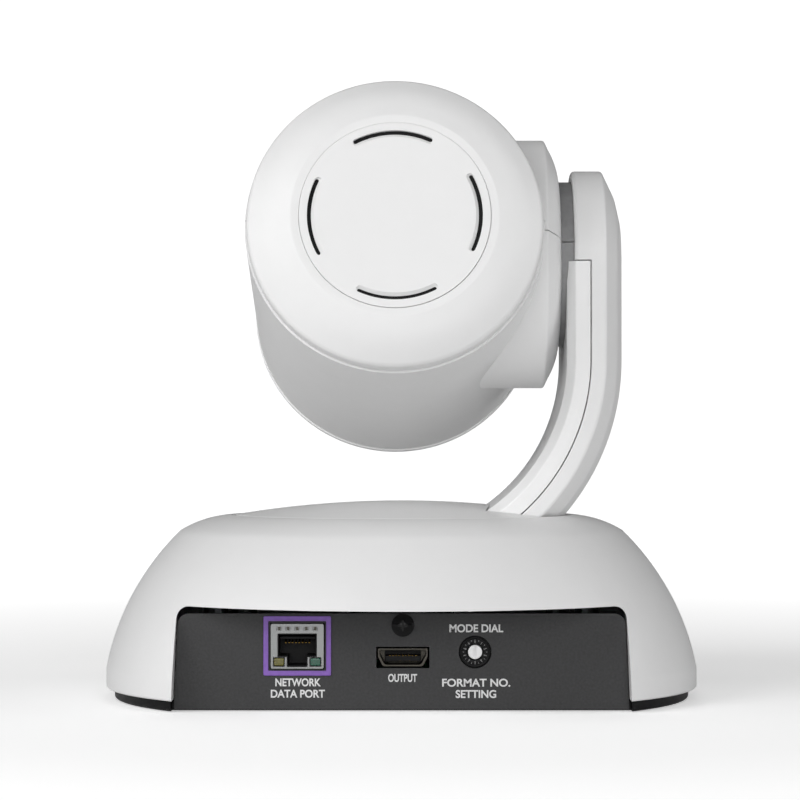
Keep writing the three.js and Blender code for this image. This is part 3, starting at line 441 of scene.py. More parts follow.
def coated_glass():
    """Multi-coated lens glass over a dark interior: near black with a blue-violet gloss."""
    base = [*linear("#10131C"), 1.0]
    material, tree, shader, place = plain_finish(
        "coated_lens_glass", base, 0.04, IOR=1.6, Coat_Weight=1.0, Coat_Roughness=0.02
    )
    if tree is None:
        return material
    shader.inputs["Coat Tint"].default_value = [*linear("#B9B4FF"), 1.0]
    tint(tree, shader, grain(tree, place, 8.0), base, 0.2)
    return material


def smoked_window():
    """Smoked acrylic window: deep black, polished, with a faint warm depth."""
    base = [*linear("#111013"), 1.0]
    material, tree, shader, place = plain_finish(
        "smoked_acrylic", base, 0.08, IOR=1.49, Coat_Weight=0.6, Coat_Roughness=0.03
    )
    if tree is None:
        return material
    tint(tree, shader, grain(tree, place, 6.0), base, 0.15)
    roughness_drift(tree, shader, grain(tree, place, 3.0), 0.06, 0.12)
    return material


def light_pipe(name, base):
    """Tinted polycarbonate light pipe: glossy, with a cloudy core."""
    material, tree, shader, place = plain_finish(
        name, base, 0.2, IOR=1.58, Subsurface_Weight=0.2, Coat_Weight=0.4
    )
    if tree is None:
        return material
    shader.inputs["Subsurface Radius"].default_value = (0.001, 0.001, 0.001)
    tint(tree, shader, grain(tree, place, 1.0), base, 0.2)
    return material


def amber_pipe():
    return light_pipe("amber_polycarbonate", shade("amber"))


def green_pipe():
    return light_pipe("green_polycarbonate", shade("green"))


def studio_paper():
    """Matt studio paper, lit from below further out, with a soft paper tooth."""
    base = shade("floor")
    material, tree, shader, place = plain_finish("studio_paper", base, 0.9)
    if tree is None:
        return material
    shader.inputs["Emission Color"].default_value = (1.0, 1.0, 1.0, 1.0)
    away = add_node(tree, "ShaderNodeVectorMath", {"operation": "LENGTH"}, {0: place})
    glow = add_node(
        tree,
        "ShaderNodeMapRange",
        inputs={"Value": away.outputs["Value"], "From Min": 0.2, "From Max": 1.0},
    )
    glow.inputs["To Min"].default_value = 0.4
    glow.inputs["To Max"].default_value = 1.0
    path = add_node(tree, "ShaderNodeLightPath")
    seen = add_node(
        tree,
        "ShaderNodeMath",
        {"operation": "MULTIPLY"},
        {0: glow.outputs["Result"], 1: path.outputs["Is Camera Ray"]},
    )
    tree.links.new(seen.outputs["Value"], shader.inputs["Emission Strength"])
    bump(tree, shader, grain(tree, place, 2.0), 0.05, 0.1)
    return material


# ---- Outlines -----------------------------------------------------------------------------------


def rounded(corners, closed=False):
    """Points of an outline whose corners (x, y, radius) are rounded by arcs."""
    count = len(corners)
    points = []
    for i, corner in enumerate(corners):
        here = Vector(corner[:2])
        radius = corner[2] if len(corner) > 2 else 0.0
        if radius <= 0 or (not closed and i in (0, count - 1)):
            points.append(here)
            continue
        before = Vector(corners[i - 1][:2]) - here
        after = Vector(corners[(i + 1) % count][:2]) - here
        room = 0.48 * min(before.length, after.length)
        if abs(before.cross(after)) < 1e-6:  # a straight corner keeps the count of its points
            points += [here] * (CORNER_STEPS + 1)
            continue
        before.normalize()
        after.normalize()
        half = before.angle(after) / 2
        reach = min(radius / math.tan(half), room)
        radius = reach * math.tan(half)
        centre = here + (before + after).normalized() * radius / math.sin(half)
        start = here + before * reach - centre
        end = here + after * reach - centre
        turn = start.angle_signed(end)
        for step in range(CORNER_STEPS + 1):
            arm = Matrix.Rotation(-turn * step / CORNER_STEPS, 2) @ start
            points.append(centre + arm)
    return points


def arc_between(start, end, radius, steps):
    """Points of an arc that bulges to the right of the way from start to end."""
    a, b = Vector(start), Vector(end)
    chord = (b - a).length
    along = (b - a) / chord
    centre = (a + b) / 2 + Vector((-along.y, along.x)) * math.sqrt(radius**2 - chord**2 / 4)
    turn = 2 * math.asin(chord / (2 * radius))
    arms = [Matrix.Rotation(turn * i / steps, 2) @ (a - centre) for i in range(steps + 1)]
    return [centre + arm for arm in arms]


def inset(profile, wall):
    """The same open profile moved to its left by a wall's thickness."""
    moved = []
    for i, point in enumerate(profile):
        along = profile[min(i + 1, len(profile) - 1)] - profile[max(i - 1, 0)]
        moved.append(point + Vector((-along.y, along.x)).normalized() * wall)
    return moved


def box_outline(x0, x1, y0, y1, radius=0.0):
    corners = [(x0, y0, radius), (x1, y0, radius), (x1, y1, radius), (x0, y1, radius)]
    return rounded(corners, closed=True)


# ---- Solids -------------------------------------------------------------------------------------


def add_object(name, vertices, faces):
    """A mesh object made of points in millimetres, its doubles merged and its faces outward."""
    mesh = bpy.data.meshes.new(name)
    mesh.from_pydata([Vector(v) * MM for v in vertices], [], faces)
    cleaned(mesh)
    piece = bpy.data.objects.new(name, mesh)
    bpy.context.scene.collection.objects.link(piece)
    return piece


def cleaned(mesh):
    work = bmesh.new()
    work.from_mesh(mesh)
    bmesh.ops.remove_doubles(work, verts=work.verts, dist=0.002 * MM)
    bmesh.ops.dissolve_degenerate(work, edges=work.edges, dist=0.001 * MM)
    bmesh.ops.recalc_face_normals(work, faces=work.faces)
    work.to_mesh(mesh)
    work.free()


ALONG = {
    "x": lambda across, up, place: (place, across, up),
    "y": lambda across, up, place: (across, place, up),
    "z": lambda across, up, place: (across, up, place),
}


def lathe(name, axis, profile, centre=(0, 0, 0), facets=ROUND):
    """A closed profile of (radius, place) turned about an axis through a centre."""
    vertices = []
    for i in range(facets):
        angle = 2 * math.pi * i / facets
        for radius, place in profile:
            across, up = radius * math.cos(angle), radius * math.sin(angle)
            vertices.append(Vector(ALONG[axis](across, up, place)) + Vector(centre))
    rows = len(profile)
    faces = []
    for i in range(facets):
        here, there = i * rows, (i + 1) % facets * rows
        for j in range(rows):
            k = (j + 1) % rows
            faces.append((here + j, here + k, there + k, there + j))
    return add_object(name, vertices, faces)


def disc(name, axis, radius, start, end, centre=(0, 0, 0), facets=ROUND):
    profile = [(0, start), (radius, start), (radius, end), (0, end)]
    return lathe(name, axis, profile, centre, facets)


def prism(name, axis, outline, start, end, centre=(0, 0, 0)):
    """An outline pushed along an axis."""
    count = len(outline)
    vertices = [
        Vector(ALONG[axis](x, y, place)) + Vector(centre) for place in (start, end) for x, y in outline
    ]
    faces = [tuple(range(count)), tuple(range(2 * count - 1, count - 1, -1))]
    faces += [(i, (i + 1) % count, (i + 1) % count + count, i + count) for i in range(count)]
    return add_object(name, vertices, faces)


def block(name, low, high):
    """A plain cutter; no visible piece is left as one."""
    outline = box_outline(low[0], high[0], low[1], high[1])
    return prism(name, "z", outline, low[2], high[2])


def baked(piece):
    """The piece with its modifiers turned into a plain mesh."""
    view = bpy.context.evaluated_depsgraph_get()
    mesh = bpy.data.meshes.new_from_object(piece.evaluated_get(view))
    old = piece.data
    piece.modifiers.clear()
    piece.data = mesh
    if isinstance(old, bpy.types.Mesh):
        bpy.data.meshes.remove(old)
    return piece


def combined(piece, others, operation):
    """The piece joined with, cut by or kept within the others, which are used up."""
    for other in others:
        modifier = piece.modifiers.new("Boolean", "BOOLEAN")
        modifier.operation = operation
        modifier.solver = "EXACT"
        modifier.object = other
        baked(piece)
        bpy.data.objects.remove(other)
    cleaned(piece.data)
    return piece


def joined(piece, *others):
    return combined(piece, others, "UNION")


def cut(piece, *others):
    return combined(piece, others, "DIFFERENCE")


def within(piece, *others):
    return combined(piece, others, "INTERSECT")


def merged(name, pieces):
    """Separate solids as one object."""
    work = bmesh.new()
    for piece in pieces:
        work.from_mesh(piece.data)
        bpy.data.objects.remove(piece)
    mesh = bpy.data.meshes.new(name)
    work.to_mesh(mesh)
    work.free()
    result = bpy.data.objects.new(name, mesh)
    bpy.context.scene.collection.objects.link(result)
    return result


def softened(piece, width, limit=40, segments=3):
    """The piece's sharp edges rounded by a small bevel."""
    modifier = piece.modifiers.new("Bevel", "BEVEL")
    modifier.width = width * MM
    modifier.segments = segments
    modifier.limit_method = "ANGLE"
    modifier.angle_limit = math.radians(limit)
    modifier.use_clamp_overlap = True
    modifier.miter_outer = "MITER_ARC"
    baked(piece)
    cleaned(piece.data)
    return piece


def smooth(piece, limit=32):
    """Smooth shading that stays crisp at edges sharper than the limit."""
    piece.data.shade_smooth()
    piece.data.set_sharp_from_angle(angle=math.radians(limit))
    modifier = piece.modifiers.new("Normals", "WEIGHTED_NORMAL")
    modifier.keep_sharp = True
    return baked(piece)


def placed(piece, matrix):
    """The piece's mesh put in its place."""
    piece.data.transform(matrix)
    return piece


def in_head(piece):
    """From the head's own frame, on the tilt axis and along the lens, to its place at rest."""
    turn = Matrix.Rotation(-REST_TILT, 4, "X")
    return placed(piece, Matrix.Translation((0, 0, TILT_Z * MM)) @ turn)


def finished(piece, name, material, body, nodes=(), limit=32):
    """The piece shaded, named and given to its body and the nodes it stands for."""
    piece.name = name
    piece.data.name = name
    piece.data.materials.clear()
    piece.data.materials.append(material)
    smooth(piece, limit)
    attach(piece, body)
    if nodes:
        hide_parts(*nodes)
    return piece


# ---- Geometry Nodes -----------------------------------------------------------------------------


def pattern_tree(name, points, extra_sockets, rotate=False):
    """A node tree that sets a box-shaped bar at every point that `points` makes in it."""
    tree = bpy.data.node_groups.new(name, "GeometryNodeTree")
    tree.interface.new_socket(name="Geometry", in_out="OUTPUT", socket_type="NodeSocketGeometry")
    sockets = {"Width": "Float", "Depth": "Float", "Height": "Float", **extra_sockets}
    for label, kind in sockets.items():
        tree.interface.new_socket(name=label, in_out="INPUT", socket_type=f"NodeSocket{kind}")
    given = tree.nodes.new("NodeGroupInput").outputs
    size = add_node(
        tree,
        "ShaderNodeCombineXYZ",
        inputs={"X": given["Width"], "Y": given["Depth"], "Z": given["Height"]},
    )
    bar = add_node(tree, "GeometryNodeMeshCube", inputs={"Size": size.outputs["Vector"]})
    places, turns = points(tree, given)
    inputs = {"Points": places, "Instance": bar.outputs["Mesh"]}
    if rotate:
        inputs["Rotation"] = turns
    copies = add_node(tree, "GeometryNodeInstanceOnPoints", inputs=inputs)
    real = add_node(
        tree, "GeometryNodeRealizeInstances", inputs={"Geometry": copies.outputs["Instances"]}
    )
    tinted = add_node(
        tree,
        "GeometryNodeSetMaterial",
        inputs={"Geometry": real.outputs["Geometry"], "Material": given["Material"]},
    )
    out = tree.nodes.new("NodeGroupOutput")
    tree.links.new(tinted.outputs["Geometry"], out.inputs["Geometry"])
    return tree


def row_points(tree, given):
    """Points in a row along X, centred on the origin."""
    less = add_node(
        tree, "ShaderNodeMath", {"operation": "SUBTRACT"}, {0: given["Count"], 1: 1.0}
    )
    span = add_node(
        tree, "ShaderNodeMath", {"operation": "MULTIPLY"}, {0: less.outputs[0], 1: given["Pitch"]}
    )
    half = add_node(
        tree, "ShaderNodeMath", {"operation": "MULTIPLY"}, {0: span.outputs[0], 1: -0.5}
    )
    start = add_node(tree, "ShaderNodeCombineXYZ", inputs={"X": half.outputs[0]})
    offset = add_node(tree, "ShaderNodeCombineXYZ", inputs={"X": given["Pitch"]})
    line = add_node(
        tree,
        "GeometryNodeMeshLine",
        {"mode": "OFFSET"},
        {
            "Count": given["Count"],
            "Start Location": start.outputs["Vector"],
            "Offset": offset.outputs["Vector"],
        },
    )
    return line.outputs["Mesh"], None


def ring_points(tree, given):
    """Points on a circle round Y, each turned to face outward."""
    circle = add_node(
        tree,
        "GeometryNodeMeshCircle",
        inputs={"Vertices": given["Count"], "Radius": given["Radius"]},
    )
    upright = add_node(
        tree,
        "GeometryNodeTransform",
        inputs={"Geometry": circle.outputs["Mesh"], "Rotation": (math.pi / 2, 0.0, 0.0)},
    )
    index = add_node(tree, "GeometryNodeInputIndex")
    share = add_node(
        tree,
        "ShaderNodeMath",
        {"operation": "DIVIDE"},
        {0: index.outputs[0], 1: given["Count"]},
    )
    angle = add_node(
        tree, "ShaderNodeMath", {"operation": "MULTIPLY"}, {0: share.outputs[0], 1: -2 * math.pi}
    )
    turn = add_node(tree, "ShaderNodeCombineXYZ", inputs={"Y": angle.outputs[0]})
    return upright.outputs["Geometry"], turn.outputs["Vector"]


ROW = {"Count": "Int", "Pitch": "Float", "Material": "Material"}
RING = {"Count": "Int", "Radius": "Float", "Material": "Material"}


def from_tree(name, tree, values):
    """The plain mesh that a node tree makes from named values."""
    piece = add_object(name, [(0, 0, 0)], [])
    modifier = piece.modifiers.new("Pattern", "NODES")
    modifier.node_group = tree
    for item in tree.interface.items_tree:
        if item.in_out == "INPUT" and item.name in values:
            modifier[item.identifier] = values[item.name]
    return baked(piece)


def bar_row(name, size, count, pitch, centre, material):
    """A row of bars along X, sizes in millimetres."""
    tree = pattern_tree(f"{name}_row", row_points, ROW)
    values = dict(zip(("Width", "Depth", "Height"), [s * MM for s in size]))
    values.update({"Count": count, "Pitch": pitch * MM, "Material": material})
    return placed(from_tree(name, tree, values), Matrix.Translation(Vector(centre) * MM))


def bar_ring(name, size, count, radius, centre, material):
    """Bars on a circle round Y, sizes in millimetres."""
    tree = pattern_tree(f"{name}_ring", ring_points, RING, rotate=True)
    values = dict(zip(("Width", "Depth", "Height"), [s * MM for s in size]))
    values.update({"Count": count, "Radius": radius * MM, "Material": material})
    return placed(from_tree(name, tree, values), Matrix.Translation(Vector(centre) * MM))


# ---- Base shell ---------------------------------------------------------------------------------


def base_profile():
    """The base's outer side from its foot to the turntable's hole."""
    s = sizes()
    foot, rim_top = BASE_LOW.z, 9.5
    dome = arc_between(
        (s.rim_radius, rim_top), (s.crease_radius, s.crease_height), s.dome_bulge, 26
    )
    shoulder = arc_between(
        (s.crease_radius - 0.9, s.crease_height + 0.9), (s.lip_radius + 0.5, s.lip_height), 34, 12
    )
    return [Vector((s.rim_radius, foot + 0.4)), *dome, *shoulder, Vector((s.lip_radius, s.lip_height - 0.4))]


def opening_outline(grow):
    """The socket recess seen from behind: open at the foot, rounded at its upper corners."""
    s = sizes()
    foot = s.opening_half + 1.3 + grow
    top = s.opening_half + grow
    roof = s.opening_top + grow
    corner = s.opening_corner + grow
    corners = [(-foot, -1.0, 0), (foot, -1.0, 0), (top, roof, corner), (-top, roof, corner)]
    return rounded(corners, closed=True)


def build_base_shell():
    s = sizes()
    outer = base_profile()
    inner = inset(outer, s.shell_wall)
    inner[0] = Vector((s.rim_radius - s.shell_wall, BASE_LOW.z))
    inner[-1] = Vector((s.lip_radius, s.lip_height - s.shell_wall))
    foot = [Vector((s.rim_radius - 0.4, BASE_LOW.z))]
    wall = lathe("wall", "z", foot + outer + inner[::-1])
    full = lathe("full", "z", foot + outer + [Vector((0, s.lip_height)), Vector((0, BASE_LOW.z))])
    behind, back = -s.rim_radius - 1, PANEL_LOW.y + 4.2
    liner = prism("liner", "y", opening_outline(2.2), behind, back)
    keep = block("keep", (-s.rim_radius, behind, BASE_LOW.z), (s.rim_radius, back, s.lip_height))
    liner = within(within(liner, full), keep)
    shell = joined(wall, liner)
    window_low, window_high = node_box("ir_window")
    light_low, light_high = node_box("status_light")
    front = s.rim_radius / 2
    radius = (light_high.z - light_low.z) / 2 + GAP
    light_centre = ((light_low.x + light_high.x) / 2, 0, (light_low.z + light_high.z) / 2)
    cutters = [
        prism("opening", "y", opening_outline(0), behind, back + 1),
        prism("window", "y", window_outline(window_low, window_high, GAP), front, s.rim_radius + 1),
        disc("light", "y", radius, front, s.rim_radius + 1, light_centre, SMALL_ROUND),
        block(
            "past_cheeks",
            (-s.rim_radius, behind, BASE_LOW.z - 1),
            (s.rim_radius, BASE_LOW.y, s.lip_height),
        ),
    ]
    shell = softened(cut(shell, *cutters), s.edge, limit=45, segments=2)
    finished(shell, "base_housing", white_housing(), "base", ["base_shell"])


def window_outline(low, high, grow):
    half = (high.z - low.z) / 2 + grow
    return rounded(
        [
            (low.x - grow, low.z - grow, half),
            (high.x + grow, low.z - grow, half),
            (high.x + grow, high.z + grow, half),
            (low.x - grow, high.z + grow, half),
        ],
        closed=True,
    )


def build_base_front():
    """The infrared window and the status light, following the dome's curve."""
    s = sizes()
    low, high = node_box("ir_window")
    light_low, light_high = node_box("status_light")
    radius = (light_high.z - light_low.z) / 2
    centre = ((light_low.x + light_high.x) / 2, 0, (light_low.z + light_high.z) / 2)
    outer = [point + Vector((0.35, 0)) for point in base_profile()]
    inner = inset(base_profile(), s.shell_wall)
    for name, plug, material, slot in [
        (
            "ir_window",
            prism("plug", "y", window_outline(low, high, 0), s.rim_radius / 2, s.rim_radius + 1),
            smoked_window(),
            "dark_window",
        ),
        (
            "status_light",
            disc("plug", "y", radius, s.rim_radius / 2, s.rim_radius + 1, centre, SMALL_ROUND),
            green_pipe(),
            "green_light",
        ),
    ]:
        skin = lathe("skin", "z", outer + inner[::-1])
        piece = softened(within(plug, skin), 0.25, limit=50, segments=2)
        finished(piece, f"{name}_lens", material, "base", [name])


# ---- Underside ----------------------------------------------------------------------------------


INSERT_RADIUS = 5.5


def build_base_plate():
    radius, top = PLATE_HIGH.x, PLATE_HIGH.z
    profile = rounded([(0, 0), (radius, 0, 1.0), (radius, top, 0.3), (0, top)])
    plate = lathe("plate", "z", profile)
    half = sizes().opening_half + 1.6
    cutters = [block("gap", (-half, -radius - 1, -1), (half, PANEL_LOW.y + 1.5, top + 1))]
    for i in range(1, 5):
        low, high = node_box(f"foot_pad_{i}")
        centre = ((low.x + high.x) / 2, (low.y + high.y) / 2, 0)
        pad_radius = (high.x - low.x) / 2
        cutters.append(
            disc("pocket", "z", pad_radius + GAP, -1, high.z + GAP, centre, SMALL_ROUND)
        )
        pad = rounded([(0, 0), (pad_radius, 0, 0.5), (pad_radius, high.z, 0), (0, high.z)])
        finished(
            lathe("pad", "z", pad, centre, SMALL_ROUND),
            f"rubber_pad_{i}",
            nitrile_rubber(),
            "base",
            [f"foot_pad_{i}"],
        )
    insert_y = (INSERT_LOW.y + INSERT_HIGH.y) / 2
    cutters.append(disc("hole", "z", INSERT_RADIUS + GAP, -1, top + 1, (0, insert_y, 0), SMALL_ROUND))
    plate = softened(cut(plate, *cutters), 0.25, limit=50, segments=2)
    finished(plate, "base_floor", moulded_black(), "base", ["base_plate"])


def build_tripod_insert():
    """A flanged insert whose thread is drawn as its true pitch of 20 turns to 25.4 mm."""
    centre = (0, (INSERT_LOW.y + INSERT_HIGH.y) / 2, 0)
    outer, root, crest = INSERT_RADIUS, 3.1, 2.72
    low, high = INSERT_LOW.z, INSERT_HIGH.z
    seat, flange = PLATE_HIGH.z + GAP, (INSERT_HIGH.x - INSERT_LOW.x) / 2
    thread_top = high - 1.5
    pitch = 25.4 / 20
    turns = int((thread_top - low - 0.6) / pitch)
    bore = [(root + 0.3, low)]
    for i in range(turns):
        bore.append((root, low + 0.3 + i * pitch))
        bore.append((crest, low + 0.3 + (i + 0.5) * pitch))
    bore += [(root, low + 0.3 + turns * pitch), (root, thread_top), (0, thread_top)]
    outside = [(0, high), (outer, high), (outer, seat + 2), (flange, seat + 2), (flange, seat)]
    outside += [(outer, seat), (outer, low + 0.3), (outer - 0.3, low)]
    piece = lathe("insert", "z", bore + outside, centre, SMALL_ROUND)
    finished(piece, "threaded_insert", turned_brass(), "base", ["tripod_insert"])


# ---- Rear panel ---------------------------------------------------------------------------------


PANEL_SHEET = 1.2  # thickness


def socket_outline(grow):
    """The video socket: wide at the top, its lower corners drawn in."""
    half = (SOCKET_HIGH.x - SOCKET_LOW.x) / 2 + grow
    middle_x = (SOCKET_HIGH.x + SOCKET_LOW.x) / 2
    low, high = SOCKET_LOW.z - grow, SOCKET_HIGH.z + grow
    cut_in, shoulder = 1.5, 3.0
    r = 0.4
    corners = [(half - cut_in, low, 1.2), (half, low + shoulder, 0.9), (half, high, r)]
    corners += [(-half, high, r), (-half, low + shoulder, 0.9), (-half + cut_in, low, 1.2)]
    return [point + Vector((middle_x, 0)) for point in rounded(corners, closed=True)]


def build_rear_panel():
    front, back = PANEL_LOW.y, PANEL_LOW.y + PANEL_SHEET
    foot_half, top = PANEL_HIGH.x, PANEL_HIGH.z
    top_half = foot_half - 1.3
    corners = [(-foot_half, PANEL_LOW.z, 0.4), (foot_half, PANEL_LOW.z, 0.4)]
    corners += [(top_half, top, 3.4), (-top_half, top, 3.4)]
    sheet = prism("sheet", "y", rounded(corners, closed=True), front, back)
    flange_half = foot_half - 12
    flange = block(
        "flange", (-flange_half, front + 0.01, 3.5), (flange_half, PANEL_HIGH.y, 4.7)
    )
    jack = box_outline(
        JACK_LOW.x - GAP, JACK_HIGH.x + GAP, JACK_LOW.z - GAP, JACK_HIGH.z + GAP, 0.3
    )
    clear = 0.5
    video_hole = box_outline(
        SOCKET_LOW.x - clear, SOCKET_HIGH.x + clear, SOCKET_LOW.z - clear, SOCKET_HIGH.z + clear, 0.3
    )
    dial_x, dial_z = (DIAL_LOW.x + DIAL_HIGH.x) / 2, (DIAL_LOW.z + DIAL_HIGH.z) / 2
    screw_x, screw_z = (SCREW_LOW.x + SCREW_HIGH.x) / 2, (SCREW_LOW.z + SCREW_HIGH.z) / 2
    panel = cut(
        joined(sheet, flange),
        prism("hole", "y", jack, front - 1, back + 1),
        prism("hole", "y", video_hole, front - 1, back + 1),
        disc("hole", "y", 5.0, front - 1, back + 1, (dial_x, 0, dial_z), SMALL_ROUND),
        disc("hole", "y", 1.8, front - 1, back + 1, (screw_x, 0, screw_z), SMALL_ROUND),
    )
    softened(panel, 0.2, limit=50, segments=2)
    finished(
        panel, "socket_panel", powder_coated_steel(), "base", ["rear_panel"]
    )


def build_panel_screw():
    """A pan-head screw with a cross recess, its head domed and blackened."""
    front, tip = SCREW_LOW.y, SCREW_HIGH.y
    seat = PANEL_LOW.y - GAP
    radius = (SCREW_HIGH.x - SCREW_LOW.x) / 2
    centre = ((SCREW_LOW.x + SCREW_HIGH.x) / 2, 0, (SCREW_LOW.z + SCREW_HIGH.z) / 2)
    crown = arc_between((0, front), (radius, seat - 0.55), 4.6, 10)
    profile = crown + [Vector(p) for p in ((radius, seat), (1.5, seat), (1.5, tip), (0, tip))]
    screw = lathe("screw", "y", profile, centre, SMALL_ROUND)
    arms = []
    for across, up in ((1.5, 0.34), (0.34, 1.5)):
        outline = box_outline(-across, across, -up, up, 0.2)
        arms.append(prism("arm", "y", outline, front - 1, seat - 0.7, centre))
    screw = softened(cut(screw, *arms), 0.08, limit=50, segments=2)
    finished(screw, "cross_head_screw", blackened_steel(), "base", ["panel_screw"])


# ---- Network socket -----------------------------------------------------------------------------


def build_network_socket():
    front = JACK_LOW.y
    x = (JACK_LOW.x + JACK_HIGH.x) / 2
    top, foot = JACK_HIGH.z, JACK_LOW.z
    outline = box_outline(JACK_FRAME_LOW.x, JACK_FRAME_HIGH.x, JACK_FRAME_LOW.z, JACK_FRAME_HIGH.z, 0.5)
    line = 1.5
    hole = box_outline(
        JACK_FRAME_LOW.x + line,
        JACK_FRAME_HIGH.x - line,
        JACK_FRAME_LOW.z + line,
        JACK_FRAME_HIGH.z - line,
        0.3,
    )
    rim = cut(
        prism("rim", "y", outline, JACK_FRAME_LOW.y, JACK_FRAME_HIGH.y),
        prism("hole", "y", hole, JACK_FRAME_LOW.y - 1, JACK_FRAME_HIGH.y + 1),
    )
    softened(rim, 0.15, limit=50, segments=2)
    finished(rim, "socket_frame", printed_frame(), "base", ["network_frame"])

    mouth_top = top - 2.9
    mouth_foot = mouth_top - 7.2
    latch_foot = mouth_foot - 3.0
    depth = front + 13

    def mouth(shrink):
        """The plug's opening: a wide mouth with the latch's channel under it."""
        wide, narrow, r = 6 - shrink, 3.2 - shrink, 0.25
        corners = [(-narrow, latch_foot + shrink, r), (narrow, latch_foot + shrink, r)]
        corners += [(narrow, mouth_foot + shrink, 0), (wide, mouth_foot + shrink, r)]
        corners += [(wide, mouth_top - shrink, r), (-wide, mouth_top - shrink, r)]
        corners += [(-wide, mouth_foot + shrink, r), (-narrow, mouth_foot + shrink, 0)]
        return [point + Vector((x, 0)) for point in rounded(corners, closed=True)]

    shield = prism("shield", "y", box_outline(JACK_LOW.x, JACK_HIGH.x, foot, top, 0.5), front, JACK_HIGH.y)
    cutters = [prism("mouth", "y", mouth(0), front - 1, depth)]
    for node, material, slot in [
        ("link_light", amber_pipe(), "amber_light"),
        ("data_light", green_pipe(), "green_light"),
    ]:
        low, high = node_box(node)
        bed = box_outline(low.x - GAP, high.x + GAP, low.z - GAP, high.z + GAP, 0.2)
        cutters.append(prism("bed", "y", bed, front - 1, high.y + GAP))
        pipe = prism("pipe", "y", box_outline(low.x, high.x, low.z, high.z, 0.5), low.y, high.y)
        softened(pipe, 0.3, limit=50)
        finished(pipe, f"{node}_pipe", material, "base", [node])
    # The shield's upper strip is pierced into a row of spring fingers.
    finger_count, finger_pitch, finger_height = 5, 2.75, top - 1.4
    row = (x, front, finger_height)
    springs = bar_row("springs", (1.7, 3.0, 1.1), finger_count, finger_pitch, row, tin_plate())
    shield = softened(cut(shield, *cutters, springs), 0.12, limit=50, segments=2)
    # The shield's darkened tin is painted shade of the recess.
    finished(shield, "socket_shield", tin_plate(), "base", ["network_jack"])

    row = (x, front + 0.35, finger_height)
    # The fingers' dark nickel is painted shade of the recess.
    fingers = bar_row("fingers", (0.7, 0.25, 1.5), finger_count, finger_pitch, row, dull_nickel())
    finished(fingers, "spring_fingers", dull_nickel(), "base")

    lining = cut(
        prism("lining", "y", mouth(0.05), front + 0.35, depth - 0.1),
        prism("inside", "y", mouth(0.4), front - 1, depth - 1.2),
    )
    shelf = box_outline(x - 5.4, x + 5.4, mouth_top - 1.9, mouth_top - 1.2, 0.2)
    ledge = prism("ledge", "y", shelf, front + 3.5, depth - 1.3)
    finished(
        softened(merged("insert", [lining, ledge]), 0.1, limit=50, segments=2),
        "socket_insert",
        moulded_black(),
        "base",
    )
    wire_y, wire_z, wire_slope = front + 7.6, mouth_top - 2.2, math.radians(12)
    # The contacts' darkened gold is painted shade inside the socket's mouth.
    wires = bar_row("wires", (0.5, 8.0, 0.22), 8, 1.02, (x, wire_y, wire_z), gold_contact())
    pivot = Vector((0, wire_y, wire_z)) * MM
    placed_wires = placed(
        wires,
        Matrix.Translation(pivot)
        @ Matrix.Rotation(wire_slope, 4, "X")
        @ Matrix.Translation(-pivot),
    )
    finished(placed_wires, "socket_contacts", gold_contact(), "base")


# ---- Video socket -------------------------------------------------------------------------------


def build_video_socket():
    front, back = SOCKET_LOW.y, SOCKET_HIGH.y
    middle = (SOCKET_LOW.z + SOCKET_HIGH.z) / 2
    x = (SOCKET_LOW.x + SOCKET_HIGH.x) / 2
    shell = cut(
        prism("shell", "y", socket_outline(0), front, back),
        prism("mouth", "y", socket_outline(-0.55), front - 1, back - 1.2),
    )
    slots = bar_row("slots", (1.6, 2.6, 1.2), 2, 6.4, (x, front + 3.4, SOCKET_HIGH.z), tin_plate())
    shell = softened(cut(shell, slots), 0.12, limit=50, segments=2)
    # The shield's dark nickel is painted shade and painted dark reflection of the recess.
    finished(shell, "video_shield", dull_nickel(), "base", ["video_socket"])
    low, high = node_box("video_tongue")
    half_wide, thick = 5.25, 1.6
    foot = middle - thick / 2 - 0.35
    blade = box_outline(x - half_wide, x + half_wide, foot, foot + thick, 0.25)
    tongue = prism("tongue", "y", blade, front + 0.9, high.y - 1.0)
    block_outline = box_outline(low.x, high.x, low.z, high.z, 0.3)
    bed = prism("bed", "y", block_outline, high.y - 1.5, high.y)
    tongue = softened(joined(tongue, bed), 0.12, limit=50, segments=2)
    finished(tongue, "video_blade", moulded_black(), "base", ["video_tongue"])
    # The pads' darkened gold is painted shade inside the socket.
    for name, height in (("upper", foot + thick), ("lower", foot)):
        pads = bar_row(
            "pads", (0.42, 5.0, 0.12), 9, 1.0, (x, front + 4.2, height), gold_contact()
        )
        finished(pads, f"video_contacts_{name}", gold_contact(), "base")


# ---- Format dial --------------------------------------------------------------------------------


